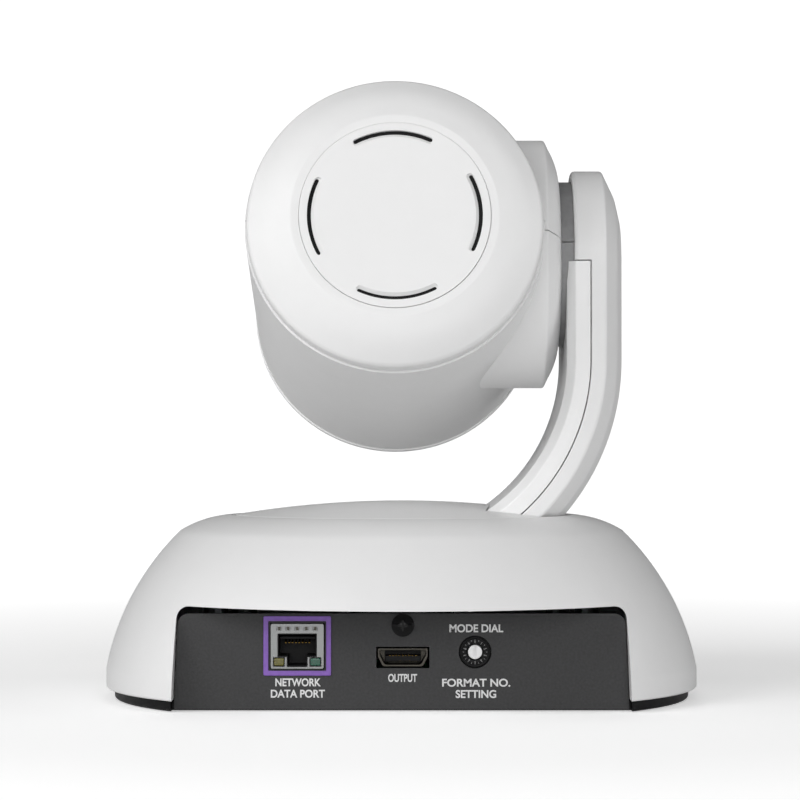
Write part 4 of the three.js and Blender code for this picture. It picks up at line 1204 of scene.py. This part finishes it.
def build_dial():
    x, z = (DIAL_LOW.x + DIAL_HIGH.x) / 2, (DIAL_LOW.z + DIAL_HIGH.z) / 2
    centre = (x, 0, z)
    half = (DIAL_HIGH.x - DIAL_LOW.x) / 2
    body_front = PANEL_LOW.y + PANEL_SHEET + GAP
    face_front = DIAL_LOW.y
    body = prism("body", "y", box_outline(-half, half, -half, half, 0.6), body_front, DIAL_HIGH.y, centre)
    face = rounded(
        [(0, face_front), (4.7, face_front, 0.25), (4.7, body_front + 1, 0), (0, body_front + 1)]
    )
    bore = disc("bore", "y", 2.55, face_front - 1, DIAL_HIGH.y - 1.5, centre, SMALL_ROUND)
    groove = [(4.1, face_front - 1), (3.75, face_front - 1), (3.75, face_front + 0.25)]
    groove.append((4.1, face_front + 0.25))
    body = cut(
        joined(body, lathe("face", "y", face, centre, SMALL_ROUND)),
        bore,
        lathe("groove", "y", groove, centre, SMALL_ROUND),
    )
    softened(body, 0.08, limit=50, segments=2)
    finished(body, "dial_body", moulded_black(), "base", ["dial_housing"])
    radius = (ROTOR_HIGH.x - ROTOR_LOW.x) / 2
    profile = rounded(
        [(0, ROTOR_LOW.y), (radius, ROTOR_LOW.y, 0.25), (radius, ROTOR_HIGH.y, 0), (0, ROTOR_HIGH.y)]
    )
    slot = prism(
        "slot", "y", box_outline(-0.35, 0.35, -1.7, 1.7, 0.2), ROTOR_LOW.y - 1, ROTOR_LOW.y + 0.9, centre
    )
    rotor = softened(cut(lathe("rotor", "y", profile, centre, SMALL_ROUND), slot), 0.06, limit=50)
    finished(rotor, "dial_knob", white_trim(), "dial", ["dial_rotor"])
    ticks = bar_ring("ticks", (0.45, 0.08, 0.14), 20, 3.55, (x, face_front, z), faint_ink())
    finished(ticks, "dial_ticks", faint_ink(), "base")
    digits = []
    ring, capital = 3.05, 0.62
    for digit in range(10):
        angle = 2 * math.pi * digit / 10
        place = (x + ring * math.sin(angle), z + ring * math.cos(angle))
        digits.append(lettering(str(digit), place, face_front, capital, turn=angle))
    finished(merged("digits", digits), "dial_digits", faint_ink(), "base")


# ---- Lettering ----------------------------------------------------------------------------------


def text_mesh(text):
    curve = bpy.data.curves.new("text", "FONT")
    curve.body = text
    curve.align_x = "CENTER"
    curve.align_y = "CENTER"
    curve.offset = 0.025
    curve.extrude = 0.012
    carrier = bpy.data.objects.new("text", curve)
    bpy.context.scene.collection.objects.link(carrier)
    bpy.context.view_layer.update()
    mesh = bpy.data.meshes.new_from_object(
        carrier.evaluated_get(bpy.context.evaluated_depsgraph_get())
    )
    bpy.data.objects.remove(carrier)
    return mesh


def lettering(text, place, front, capital, wide=1.0, turn=0.0):
    """Printed words centred at (x, z) on a face that looks along -Y, capitals of a given height."""
    heights = [v.co.y for v in text_mesh("H").vertices]
    scale = capital * MM / (max(heights) - min(heights))
    mesh = text_mesh(text)
    cleaned(mesh)
    piece = bpy.data.objects.new("words", mesh)
    bpy.context.scene.collection.objects.link(piece)
    upright = Matrix.Rotation(math.pi / 2, 4, "X")
    spin = Matrix.Rotation(turn, 4, "Y")
    where = Matrix.Translation((place[0] * MM, front * MM, place[1] * MM))
    size = Matrix.Diagonal((scale * wide, scale, scale, 1))
    return placed(piece, where @ spin @ upright @ size)


PRINTED_WORDS = [
    # words, width of the letters against the font's own, X and Z of their middle
    ("NETWORK", 0.84, -31.65, 8.45),
    ("DATA PORT", 0.92, -31.65, 5.0),
    ("OUTPUT", 0.68, 0.3, 9.8),
    ("MODE DIAL", 0.95, 22.7, 24.9),
    ("FORMAT NO.", 1.06, 22.7, 8.35),
    ("SETTING", 0.97, 22.7, 4.9),
]


def build_lettering():
    capital = sizes().letter_height
    front = PANEL_LOW.y
    words = [lettering(text, (x, z), front, capital, wide) for text, wide, x, z in PRINTED_WORDS]
    finished(merged("words", words), "panel_print", screen_ink(), "base")


# ---- Turntable ----------------------------------------------------------------------------------


class ArmLine:
    """The arm's middle line: upright beside the head, bent in on an arc below it."""

    depth = 18.1
    middle = (ARM_HIGH.x * 2 - depth) / 2
    half = depth / 2
    bend_height = 107.5
    foot_lean = 18.3
    drop = bend_height - BASE_HIGH.z
    outer_bend = (drop**2 + foot_lean**2) / (2 * foot_lean)
    bend_centre = ARM_HIGH.x - outer_bend
    bend_radius = middle - bend_centre

    @classmethod
    def side_stations(cls, top, lowest, steps):
        """Places from the given height down the arm, as (centre, outward)."""
        stations = [(Vector((cls.middle, 0, top)), Vector((1, 0, 0)))]
        for step in range(steps + 1):
            angle = lowest * step / steps
            out = Vector((math.cos(angle), 0, -math.sin(angle)))
            centre = Vector((cls.bend_centre, 0, cls.bend_height)) + out * cls.bend_radius
            stations.append((centre, out))
        return stations


def arm_channel(name, section, top, lowest=math.radians(70), steps=44):
    """A closed section of (across, out) swept down the arm's middle line."""
    rings = [
        [centre + out * n + Vector((0, across, 0)) for across, n in section]
        for centre, out in ArmLine.side_stations(top, lowest, steps)
    ]
    count = len(section)
    faces = [tuple(range(count)), tuple((len(rings) - 1) * count + i for i in range(count))]
    for ring in range(len(rings) - 1):
        for i in range(count):
            j = (i + 1) % count
            here, there = ring * count, (ring + 1) * count
            faces.append((here + i, here + j, there + j, there + i))
    return add_object(name, [p for ring in rings for p in ring], faces)


def build_turntable():
    radius, crown = -DISH_LOW.x, DISH_HIGH.z
    lip = BASE_HIGH.z
    sag = (radius**2 + (crown - lip) ** 2) / (2 * (crown - lip))
    top = arc_between((radius - 0.4, lip + 0.05), (0, crown), sag, 40)
    low = [Vector((0, DISH_LOW.z)), Vector((radius, DISH_LOW.z)), Vector((radius, lip - 0.4))]
    dish = lathe("dish", "z", low + top)
    clear = 0.4
    reach, half = sizes().arm_half_width + clear, ArmLine.half
    slot = arm_channel(
        "slot", box_outline(-reach, reach, -half - clear, half + 8, 0.6), top=ArmLine.bend_height + 1
    )
    hole = disc("hole", "z", 7, 0, DISH_LOW.z + 2.2, facets=SMALL_ROUND)
    dish = softened(cut(dish, slot, hole), 0.3, limit=50, segments=2)
    finished(dish, "turntable_dish", white_housing(), "yoke", ["turntable"])


# ---- Arm ----------------------------------------------------------------------------------------


ARCH_STEPS = 72
ARM_WALL = 2.6
ARM_SEAM = 7.5  # from the arm's inner face to the joint with its cover
NECK_MARGIN = 1.1  # the arm's hollow stays this far inside the neck's radius


def build_arm_shell():
    """One profile swept up the arm's near side, round the tilt axis and down its far side."""
    s = sizes()
    wide, half = s.arm_half_width, ArmLine.half
    shoulder = half - 6.0  # the outer chamfer starts here
    flat = wide - 16.5
    seam = ARM_SEAM - half
    rim_inner = 2.3 - half
    seat, chamber = s.neck_radius + GAP, s.neck_radius - NECK_MARGIN
    floor_out = half - ARM_WALL
    outside = [(0, half, 0), (flat, half, 8), (flat + 8, half - 1.9, 12), (wide, shoulder, 1.2)]
    inside = [(chamber, shoulder - 1.5, 0), (flat - 1.1, floor_out, 0), (0, floor_out, 0)]
    below = [(wide, seam, 0.3), (seat, seam, 0.01), (seat, seam, 0), (chamber, seam, 0)]
    above = [(wide, rim_inner, 1.3), (seat, rim_inner, 0.35), (seat, -4.95, 0), (chamber, -4.95, 0)]
    lower_profile = rounded(outside + below + inside)
    upper_profile = rounded(outside + above + inside)
    stations = []
    for side in (1, -1):
        down = ArmLine.side_stations(TILT_Z, math.radians(60), 40)
        run = [(centre, Vector((0, side, 0)), out, lower_profile) for centre, out in down]
        stations.append(run)
    hub = Vector((ArmLine.middle, 0, TILT_Z))
    out = Vector((1, 0, 0))
    arc = []
    for step in range(ARCH_STEPS + 1):
        angle = math.pi * step / ARCH_STEPS
        arc.append((hub, Vector((0, math.cos(angle), math.sin(angle))), out, upper_profile))
    ordered = stations[0][::-1] + arc + stations[1]
    rows = len(lower_profile)
    vertices = [
        centre + across * p[0] + outward * p[1]
        for centre, across, outward, profile in ordered
        for p in profile
    ]
    faces = []
    for i in range(len(ordered) - 1):
        here, there = i * rows, (i + 1) * rows
        for j in range(rows - 1):
            faces.append((here + j, here + j + 1, there + j + 1, there + j))
    for start in (0, (len(ordered) - 1) * rows):
        faces.append(tuple(start + j for j in range(rows)))
    shell = add_object("arm", vertices, faces)
    below_foot = ARM_LOW.z
    shell = cut(shell, block("foot", (-20, -60, -40), (ARM_HIGH.x + 5, 60, below_foot)))
    finished(shell, "arm_housing", white_housing(), "yoke", ["arm_shell"], limit=28)


def build_arm_cover():
    s = sizes()
    wide, half = s.arm_half_width, ArmLine.half
    seam = ARM_SEAM - half - GAP
    chamber = s.neck_radius - NECK_MARGIN
    floor_in = -half + ARM_WALL
    section = [(-wide + 4, -half, 1.0), (wide - 4, -half, 1.0), (wide, -half + 2.5, 0.8)]
    section += [(wide, seam, 0.25), (chamber, seam, 0), (chamber, floor_in, 0.5)]
    section += [(-chamber, floor_in, 0.5), (-chamber, seam, 0), (-wide, seam, 0.25)]
    section += [(-wide, -half + 2.5, 0.8)]
    cover = arm_channel("cover", rounded(section, closed=True), COVER_HIGH.z)
    seat = disc("seat", "x", s.neck_radius + GAP, 40, 80, (0, 0, TILT_Z))
    foot = block("foot", (-20, -60, -40), (ARM_HIGH.x + 5, 60, COVER_LOW.z))
    cover = cut(cover, seat, foot)
    # The cover's brighter white is painted light on its side face.
    finished(cover, "arm_inner_cover", white_trim(), "yoke", ["arm_cover"], limit=28)


# ---- Head ---------------------------------------------------------------------------------------

BARREL_AXIS = Vector((-2.0, 0.0, -2.0))  # of the barrel in the head's frame
CAP_SEAM, BARREL_END = -50.4, 55.0
BEZEL_BACK, BEZEL_FRONT = 55.3, 58.5
DRUM_RIM, NECK_FOOT, NECK_END = 45.6, 50.3, 55.8
HEAD_WALL = 2.4


def barrel(name, shrink, start, end):
    s = sizes()
    profile = [(0, start), (s.barrel_rear - shrink, start), (s.barrel_front - shrink, end), (0, end)]
    return lathe(name, "y", profile, BARREL_AXIS)


def drum(name, shrink):
    """The drum and its neck, turned about the tilt axis."""
    s = sizes()
    rim, neck = s.drum_radius - shrink, s.neck_radius - shrink
    face = DRUM_RIM - shrink / 2
    foot = NECK_FOOT - shrink
    corner = rounded([(rim, 30), (rim, face, 1.1), (rim - 3, face + 1.4)])
    dome = arc_between((rim - 3, face + 1.4), (neck, foot), 24, 14)[:-1]
    profile = [Vector((0, 10)), Vector((rim, 10)), *corner[:-1], *dome]
    profile += [Vector(p) for p in ((neck, foot), (neck, NECK_END - shrink), (0, NECK_END - shrink))]
    return lathe(name, "x", profile)


SLEEVE_WALL = 0.35


def neck_ring(name, inner, outer):
    profile = [(inner, NECK_FOOT), (outer, NECK_FOOT), (outer, NECK_END), (inner, NECK_END)]
    return lathe(name, "x", profile)


def build_neck_sleeve():
    """The darker band round the neck, in two halves that meet at the housings' seam; its grey is painted
    shade of the gap between the drum and the arm.
    """
    s = sizes()
    ring = neck_ring("ring", s.neck_radius - SLEEVE_WALL, s.neck_radius)
    gap = block("gap", (20, -60, -s.seam / 2), (80, 60, s.seam / 2))
    # The sleeve's grey is painted shade of the gap between the drum and the arm.
    finished(in_head(cut(ring, gap)), "neck_sleeve", moulded_grey(), "head")


def build_head_shells():
    s = sizes()
    for name, side, node in (("upper", 1, "head_upper_shell"), ("lower", -1, "head_lower_shell")):
        shell = joined(barrel("outer", 0, CAP_SEAM + 0.4, BARREL_END), drum("drum", 0))
        shaft = disc("shaft", "x", 9.2, 20, NECK_END + 1, facets=SMALL_ROUND)
        low, high = sorted((side * s.seam / 2, -side * 120))
        other = block("other", (-120, -120, low), (120, 120, high))
        hollow = barrel("inner", HEAD_WALL, CAP_SEAM - 1, BARREL_END + 1)
        sleeve = neck_ring("sleeve", s.neck_radius - SLEEVE_WALL - 0.05, s.neck_radius + 2)
        shell = cut(shell, hollow, drum("hollow", HEAD_WALL), shaft, sleeve, other)
        finished(in_head(shell), f"head_{name}_housing", white_housing(), "head", [node])


def build_rear_cap():
    s = sizes()
    corners = [
        (s.cap_radius - 0.35, CAP_SEAM, 0),
        (s.cap_radius, CAP_SEAM - 0.35, 0),
        (s.cap_radius, -55.9, 3.2),
        (39.0, -61.2, 26),
        (s.disc_radius + 2.6, -63.6, 2.2),
        (s.disc_radius + 0.1, -63.6, 0.2),
        (s.disc_radius + 0.1, -61.7, 0),
        (s.disc_radius - 3, -61.7, 0),
        (s.disc_radius - 3, -60.2, 0),
        (s.disc_radius + 1, -60.2, 0),
        (s.cap_radius - 3 - HEAD_WALL * 0.6, -55.4, 0),
        (s.cap_radius - HEAD_WALL, -53.6, 0),
        (s.cap_radius - HEAD_WALL, CAP_SEAM, 0),
    ]
    cap = lathe("cap", "y", rounded(corners, closed=True), BARREL_AXIS)
    finished(in_head(cap), "rear_cap_housing", white_housing(), "head", ["rear_cap"])


def vent_outline(circle, width, middle):
    """A slot with round ends that runs along a circle, centred on the angle middle."""
    half_span, steps = math.radians(26), 28
    outline = []
    for radius, side in ((circle + width / 2, 1), (circle - width / 2, -1)):
        first, last = middle - side * half_span, middle + side * half_span
        turns = [first + (last - first) * k / steps for k in range(steps + 1)]
        outline += [Vector((radius * math.cos(a), radius * math.sin(a))) for a in turns]
        end = Vector((math.cos(last), math.sin(last))) * circle
        arm = outline[-1] - end
        swing = [math.pi * k / 8 for k in range(1, 8)]
        outline += [end + Matrix.Rotation(a, 2) @ arm for a in swing]
    return outline


def build_vent_disc():
    """The cap's disc: four arc slots with round ends on one circle, and dust mesh behind them."""
    s = sizes()
    front, back = -64.0, -62.0
    plain = s.vent_radius - 3  # the middle of the disc, which no vent reaches
    corners = [(0, front, 0), (plain, front, 0), (s.disc_radius, front, 0.2)]
    corners += [(s.disc_radius, back, 0), (plain, back, 0), (0, back, 0)]
    plate = lathe("plate", "y", rounded(corners, closed=True), BARREL_AXIS)
    circle, width, ramp, lip = s.vent_radius, s.vent_width, 0.9, 1.1
    # Each vent's inner half slopes down to the slot; the plate is thinned behind the slots.
    slope = [(circle - width / 2 - 0.2, front - 0.05), (circle + width / 2 + 1, front - 1)]
    slope += [(circle + width / 2 + 1, front + 1.3), (circle - width / 2 + ramp, front + 0.9)]
    pocket = [(circle - 2.2, front + lip), (circle + 2.2, front + lip)]
    pocket += [(circle + 2.2, back + 1), (circle - 2.2, back + 1)]
    cutters = [lathe("pocket", "y", pocket, BARREL_AXIS)]
    for i in range(4):
        middle = math.radians(1.5) + i * math.pi / 2
        through = vent_outline(circle + ramp / 2, width - ramp, middle)
        cutters.append(prism("slot", "y", through, front - 1, back + 1, BARREL_AXIS))
        opening = prism("open", "y", vent_outline(circle, width, middle), front - 1, back, BARREL_AXIS)
        cutters.append(within(opening, lathe("slope", "y", slope, BARREL_AXIS)))
    plate = softened(cut(plate, *cutters), 0.1, limit=50, segments=2)
    finished(in_head(plate), "vented_disc", white_housing(), "head", ["vent_disc"])
    mesh = [(circle - 2.1, front + lip + 0.2), (circle + 2.1, front + lip + 0.2)]
    mesh += [(circle + 2.1, back - 0.05), (circle - 2.1, back - 0.05)]
    baffle = lathe("baffle", "y", mesh, BARREL_AXIS)
    finished(in_head(baffle), "dust_mesh", felted_black(), "head")


def build_lens_front():
    """The bezel, the window ring, the lens tube with its baffle rings and the front glass."""
    s = sizes()
    radius, inner = s.barrel_front + 0.5, 38.5
    corners = [(inner, BEZEL_BACK, 0.2), (radius, BEZEL_BACK, 0.3), (radius, BEZEL_FRONT, 1.4)]
    corners += [(inner + 1.2, BEZEL_FRONT, 0.4), (inner, BEZEL_FRONT - 0.8, 0.3)]
    bezel = lathe("bezel", "y", rounded(corners, closed=True), BARREL_AXIS)
    finished(in_head(bezel), "lens_bezel", white_trim(), "head", ["front_bezel"])

    tube = 22.0
    back, front = BEZEL_FRONT - 2.4, BEZEL_FRONT - 0.6
    corners = [(tube + GAP, back, 0), (inner - GAP, back, 0), (inner - GAP, front, 0.2)]
    corners += [(tube + GAP, front, 0.2)]
    window = lathe("window", "y", rounded(corners, closed=True), BARREL_AXIS)
    finished(in_head(window), "front_glass_ring", smoked_window(), "head", ["front_window"])

    bore, foot, end = 19.0, 2.0, BEZEL_FRONT - 0.2
    outside = [(bore, foot, 0), (23.5, foot, 0.3), (23.5, foot + 2, 0.3), (tube, foot + 2, 0)]
    outside += [(tube, end, 0.4), (bore + 1.4, end, 0.3), (bore + 0.9, end - 1.6, 0)]
    profile = rounded(outside)
    rings = 4
    for i in range(rings):
        place = end - 1.8 - i * 0.8
        step = 0.55 * (1 - i / rings)
        profile += [Vector((bore + step, place)), Vector((bore + step * 0.6, place - 0.5))]
    profile.append(Vector((bore, end - 5.2)))
    lens_tube = lathe("tube", "y", profile, BARREL_AXIS)
    finished(in_head(lens_tube), "lens_tube", moulded_black(), "head", ["lens_barrel"])

    edge, middle, rise = 18.6, 51.3, 3.0
    crown_radius = (edge**2 + rise**2) / (2 * rise)
    crown = arc_between((edge, middle + 1.2), (0, middle + 1.2 + rise), crown_radius, 24)
    rear = [Vector((0, middle - 2.7)), Vector((edge - 0.4, middle - 1.2))]
    rear.append(Vector((edge, middle - 0.8)))
    glass = lathe("glass", "y", rear + crown, BARREL_AXIS)
    finished(in_head(glass), "front_element", coated_glass(), "head", ["front_lens"])


# ---- Works inside -------------------------------------------------------------------------------


def build_inner_works():
    """Finishes for the chassis, boards, bearings, gears and lenses that come from the frame."""
    finishes = {
        machined_steel: [
            "deck_plate",
            "deck_post_1",
            "deck_post_2",
            "deck_post_3",
            "deck_post_4",
            "pan_bearing",
            "pan_frame",
            "bearing_plate",
            "tilt_bearing",
            "tilt_shaft",
            "camera_bracket",
        ],
        moulded_black: ["pan_motor", "tilt_motor"],
        moulded_nylon: ["pan_gear", "tilt_gear"],
        turned_brass: ["pan_pinion", "tilt_pinion"],
        solder_mask: ["main_board", "sensor_board", "video_board"],
        coated_glass: ["zoom_lens", "focus_lens", "image_sensor"],
    }
    for finish, nodes in finishes.items():
        for node in nodes:
            piece = bpy.data.objects[node]
            for slot in piece.material_slots:
                slot.material = finish()


# ---- Stage --------------------------------------------------------------------------------------


STUDIO_LIGHTS = [
    # name, degrees right of the sockets' side, degrees up, size in metres, watts
    ("front_softbox", 0, 8, 1.2, 14.8),
    ("left_softbox", -45, 28, 1.0, 12.0),
    ("left_edge", -85, 16, 1.0, 5.6),
    ("right_edge", 80, 16, 1.0, 8.2),
    ("far_softbox", 180, 45, 1.0, 0.3),
]
LIGHT_DISTANCE = 1.8
LIGHT_TARGET = Vector((0.0, 0.0, 0.09))
AIR_STRENGTH, BACKDROP_STRENGTH = 0.095, 1.1
WHITE = (1.0, 1.0, 1.0, 1.0)


def area_light(name, azimuth, elevation, size, power):
    """A round softbox on a sphere round the object, which the camera doesn't see."""
    data = bpy.data.lights.new(name, "AREA")
    data.shape = "DISK"
    data.size = size
    data.energy = power
    side, up = math.radians(azimuth), math.radians(elevation)
    way = Vector((math.sin(side) * math.cos(up), -math.cos(side) * math.cos(up), math.sin(up)))
    lamp = bpy.data.objects.new(name, data)
    lamp.location = LIGHT_TARGET + way * LIGHT_DISTANCE
    lamp.rotation_euler = (-way).to_track_quat("-Z", "Y").to_euler()
    lamp.visible_camera = False
    bpy.context.scene.collection.objects.link(lamp)


def build_camera():
    """A long lens level with the object's waist, looking at the sockets."""
    data = bpy.data.cameras.new("view")
    data.lens = 139.5
    data.sensor_width = 36.0
    data.clip_start, data.clip_end = 0.05, 50.0
    camera = bpy.data.objects.new("view", data)
    camera.location = (0.0, -1.0, 0.085)
    camera.rotation_euler = (math.radians(90.58), 0.0, math.radians(0.028))
    bpy.context.scene.collection.objects.link(camera)
    bpy.context.scene.camera = camera


def build_stage():
    s = bpy.context.scene
    s.view_settings.view_transform = "Standard"
    s.view_settings.look = "None"
    reach, top, foot = 4000, -0.2, -6
    outline = [(0, top), (reach, top), (reach, foot), (0, foot)]
    floor = lathe("studio_floor", "z", outline, facets=96)
    floor.data.materials.append(studio_paper())
    world = bpy.data.worlds.new("studio_air")
    world.use_nodes = True
    tree = world.node_tree
    air = tree.nodes["Background"]
    air.inputs["Color"].default_value = WHITE
    air.inputs["Strength"].default_value = AIR_STRENGTH
    backdrop = add_node(tree, "ShaderNodeBackground", inputs={"Strength": BACKDROP_STRENGTH})
    backdrop.inputs["Color"].default_value = WHITE
    path = add_node(tree, "ShaderNodeLightPath")
    mix = add_node(tree, "ShaderNodeMixShader", inputs={"Fac": path.outputs["Is Camera Ray"]})
    tree.links.new(air.outputs[0], mix.inputs[1])
    tree.links.new(backdrop.outputs[0], mix.inputs[2])
    tree.links.new(mix.outputs[0], tree.nodes["World Output"].inputs["Surface"])
    s.world = world
    for light in STUDIO_LIGHTS:
        area_light(*light)


# ---- Operators ----------------------------------------------------------------------------------


class PTCAMERA_OT_stage(bpy.types.Operator):
    """Camera, floor and soft lights."""

    bl_idname = "ptcamera.stage"
    bl_label = "Stage"
    bl_options = {"REGISTER"}

    def execute(self, context):
        build_camera()
        build_stage()
        return {"FINISHED"}


class PTCAMERA_OT_base_shell(bpy.types.Operator):
    """The domed housing of the base."""

    bl_idname = "ptcamera.base_shell"
    bl_label = "Base shell"
    bl_options = {"REGISTER"}

    def execute(self, context):
        build_base_shell()
        return {"FINISHED"}


class PTCAMERA_OT_base_front(bpy.types.Operator):
    """The window and status light."""

    bl_idname = "ptcamera.base_front"
    bl_label = "Base front"
    bl_options = {"REGISTER"}

    def execute(self, context):
        build_base_front()
        return {"FINISHED"}


class PTCAMERA_OT_underside(bpy.types.Operator):
    """Floor plate, pads and insert."""

    bl_idname = "ptcamera.underside"
    bl_label = "Underside"
    bl_options = {"REGISTER"}

    def execute(self, context):
        build_base_plate()
        build_tripod_insert()
        return {"FINISHED"}


class PTCAMERA_OT_rear_panel(bpy.types.Operator):
    """The socket panel and its screw."""

    bl_idname = "ptcamera.rear_panel"
    bl_label = "Rear panel"
    bl_options = {"REGISTER"}

    def execute(self, context):
        build_rear_panel()
        build_panel_screw()
        return {"FINISHED"}


class PTCAMERA_OT_network_socket(bpy.types.Operator):
    """Frame, shield, contacts and lights."""

    bl_idname = "ptcamera.network_socket"
    bl_label = "Network socket"
    bl_options = {"REGISTER"}

    def execute(self, context):
        build_network_socket()
        return {"FINISHED"}


class PTCAMERA_OT_video_socket(bpy.types.Operator):
    """Shield, blade and contacts."""

    bl_idname = "ptcamera.video_socket"
    bl_label = "Video socket"
    bl_options = {"REGISTER"}

    def execute(self, context):
        build_video_socket()
        return {"FINISHED"}


class PTCAMERA_OT_format_dial(bpy.types.Operator):
    """Housing, knob, ticks and digits."""

    bl_idname = "ptcamera.format_dial"
    bl_label = "Format dial"
    bl_options = {"REGISTER"}

    def execute(self, context):
        build_dial()
        return {"FINISHED"}


class PTCAMERA_OT_lettering(bpy.types.Operator):
    """Generic words printed on the panel."""

    bl_idname = "ptcamera.lettering"
    bl_label = "Lettering"
    bl_options = {"REGISTER"}

    def execute(self, context):
        build_lettering()
        return {"FINISHED"}


class PTCAMERA_OT_turntable(bpy.types.Operator):
    """The dish that carries the arm."""

    bl_idname = "ptcamera.turntable"
    bl_label = "Turntable"
    bl_options = {"REGISTER"}

    def execute(self, context):
        build_turntable()
        return {"FINISHED"}


class PTCAMERA_OT_arm(bpy.types.Operator):
    """The arm's housing and inner cover."""

    bl_idname = "ptcamera.arm"
    bl_label = "Arm"
    bl_options = {"REGISTER"}

    def execute(self, context):
        build_arm_shell()
        build_arm_cover()
        return {"FINISHED"}


class PTCAMERA_OT_head_shells(bpy.types.Operator):
    """Upper and lower halves of the head."""

    bl_idname = "ptcamera.head_shells"
    bl_label = "Head shells"
    bl_options = {"REGISTER"}

    def execute(self, context):
        build_head_shells()
        return {"FINISHED"}


class PTCAMERA_OT_neck_sleeve(bpy.types.Operator):
    """The darker band round the neck, whose grey is painted shade."""

    bl_idname = "ptcamera.neck_sleeve"
    bl_label = "Neck sleeve"
    bl_options = {"REGISTER"}

    def execute(self, context):
        build_neck_sleeve()
        return {"FINISHED"}


class PTCAMERA_OT_rear_cap(bpy.types.Operator):
    """The cap, its vented disc and dust mesh."""

    bl_idname = "ptcamera.rear_cap"
    bl_label = "Rear cap"
    bl_options = {"REGISTER"}

    def execute(self, context):
        build_rear_cap()
        build_vent_disc()
        return {"FINISHED"}


class PTCAMERA_OT_lens_front(bpy.types.Operator):
    """Bezel, window ring, tube and glass."""

    bl_idname = "ptcamera.lens_front"
    bl_label = "Lens front"
    bl_options = {"REGISTER"}

    def execute(self, context):
        build_lens_front()
        return {"FINISHED"}


class PTCAMERA_OT_inner_works(bpy.types.Operator):
    """Finishes of the works inside."""

    bl_idname = "ptcamera.inner_works"
    bl_label = "Inner works"
    bl_options = {"REGISTER"}

    def execute(self, context):
        build_inner_works()
        return {"FINISHED"}


OPERATORS = [
    PTCAMERA_OT_stage,
    PTCAMERA_OT_base_shell,
    PTCAMERA_OT_base_front,
    PTCAMERA_OT_underside,
    PTCAMERA_OT_rear_panel,
    PTCAMERA_OT_network_socket,
    PTCAMERA_OT_video_socket,
    PTCAMERA_OT_format_dial,
    PTCAMERA_OT_lettering,
    PTCAMERA_OT_turntable,
    PTCAMERA_OT_arm,
    PTCAMERA_OT_head_shells,
    PTCAMERA_OT_neck_sleeve,
    PTCAMERA_OT_rear_cap,
    PTCAMERA_OT_lens_front,
    PTCAMERA_OT_inner_works,
]


class PTCAMERA_PT_panel(bpy.types.Panel):
    """Lists the operators that build the camera, with its sizes and colours."""

    bl_idname = "PTCAMERA_PT_panel"
    bl_label = "PT camera"
    bl_space_type = "VIEW_3D"
    bl_region_type = "UI"
    bl_category = "PT camera"

    def draw(self, context):
        column = self.layout.column()
        for kind in OPERATORS:
            column.operator(kind.bl_idname)
        for group, names in (
            (context.scene.ptcamera_sizes, PTCAMERA_PG_sizes.__annotations__),
            (context.scene.ptcamera_colours, PTCAMERA_PG_colours.__annotations__),
        ):
            for name in names:
                column.prop(group, name)


CLASSES = [PTCAMERA_PG_sizes, PTCAMERA_PG_colours, *OPERATORS, PTCAMERA_PT_panel]


def register():
    for kind in CLASSES:
        bpy.utils.register_class(kind)
    bpy.types.Scene.ptcamera_sizes = PointerProperty(type=PTCAMERA_PG_sizes)
    bpy.types.Scene.ptcamera_colours = PointerProperty(type=PTCAMERA_PG_colours)


def unregister():
    del bpy.types.Scene.ptcamera_colours
    del bpy.types.Scene.ptcamera_sizes
    for kind in reversed(CLASSES):
        bpy.utils.unregister_class(kind)


def main():
    register()
    for kind in OPERATORS:
        name = kind.bl_idname.split(".")[1]
        getattr(bpy.ops.ptcamera, name)()


if __name__ == "__main__":
    main()
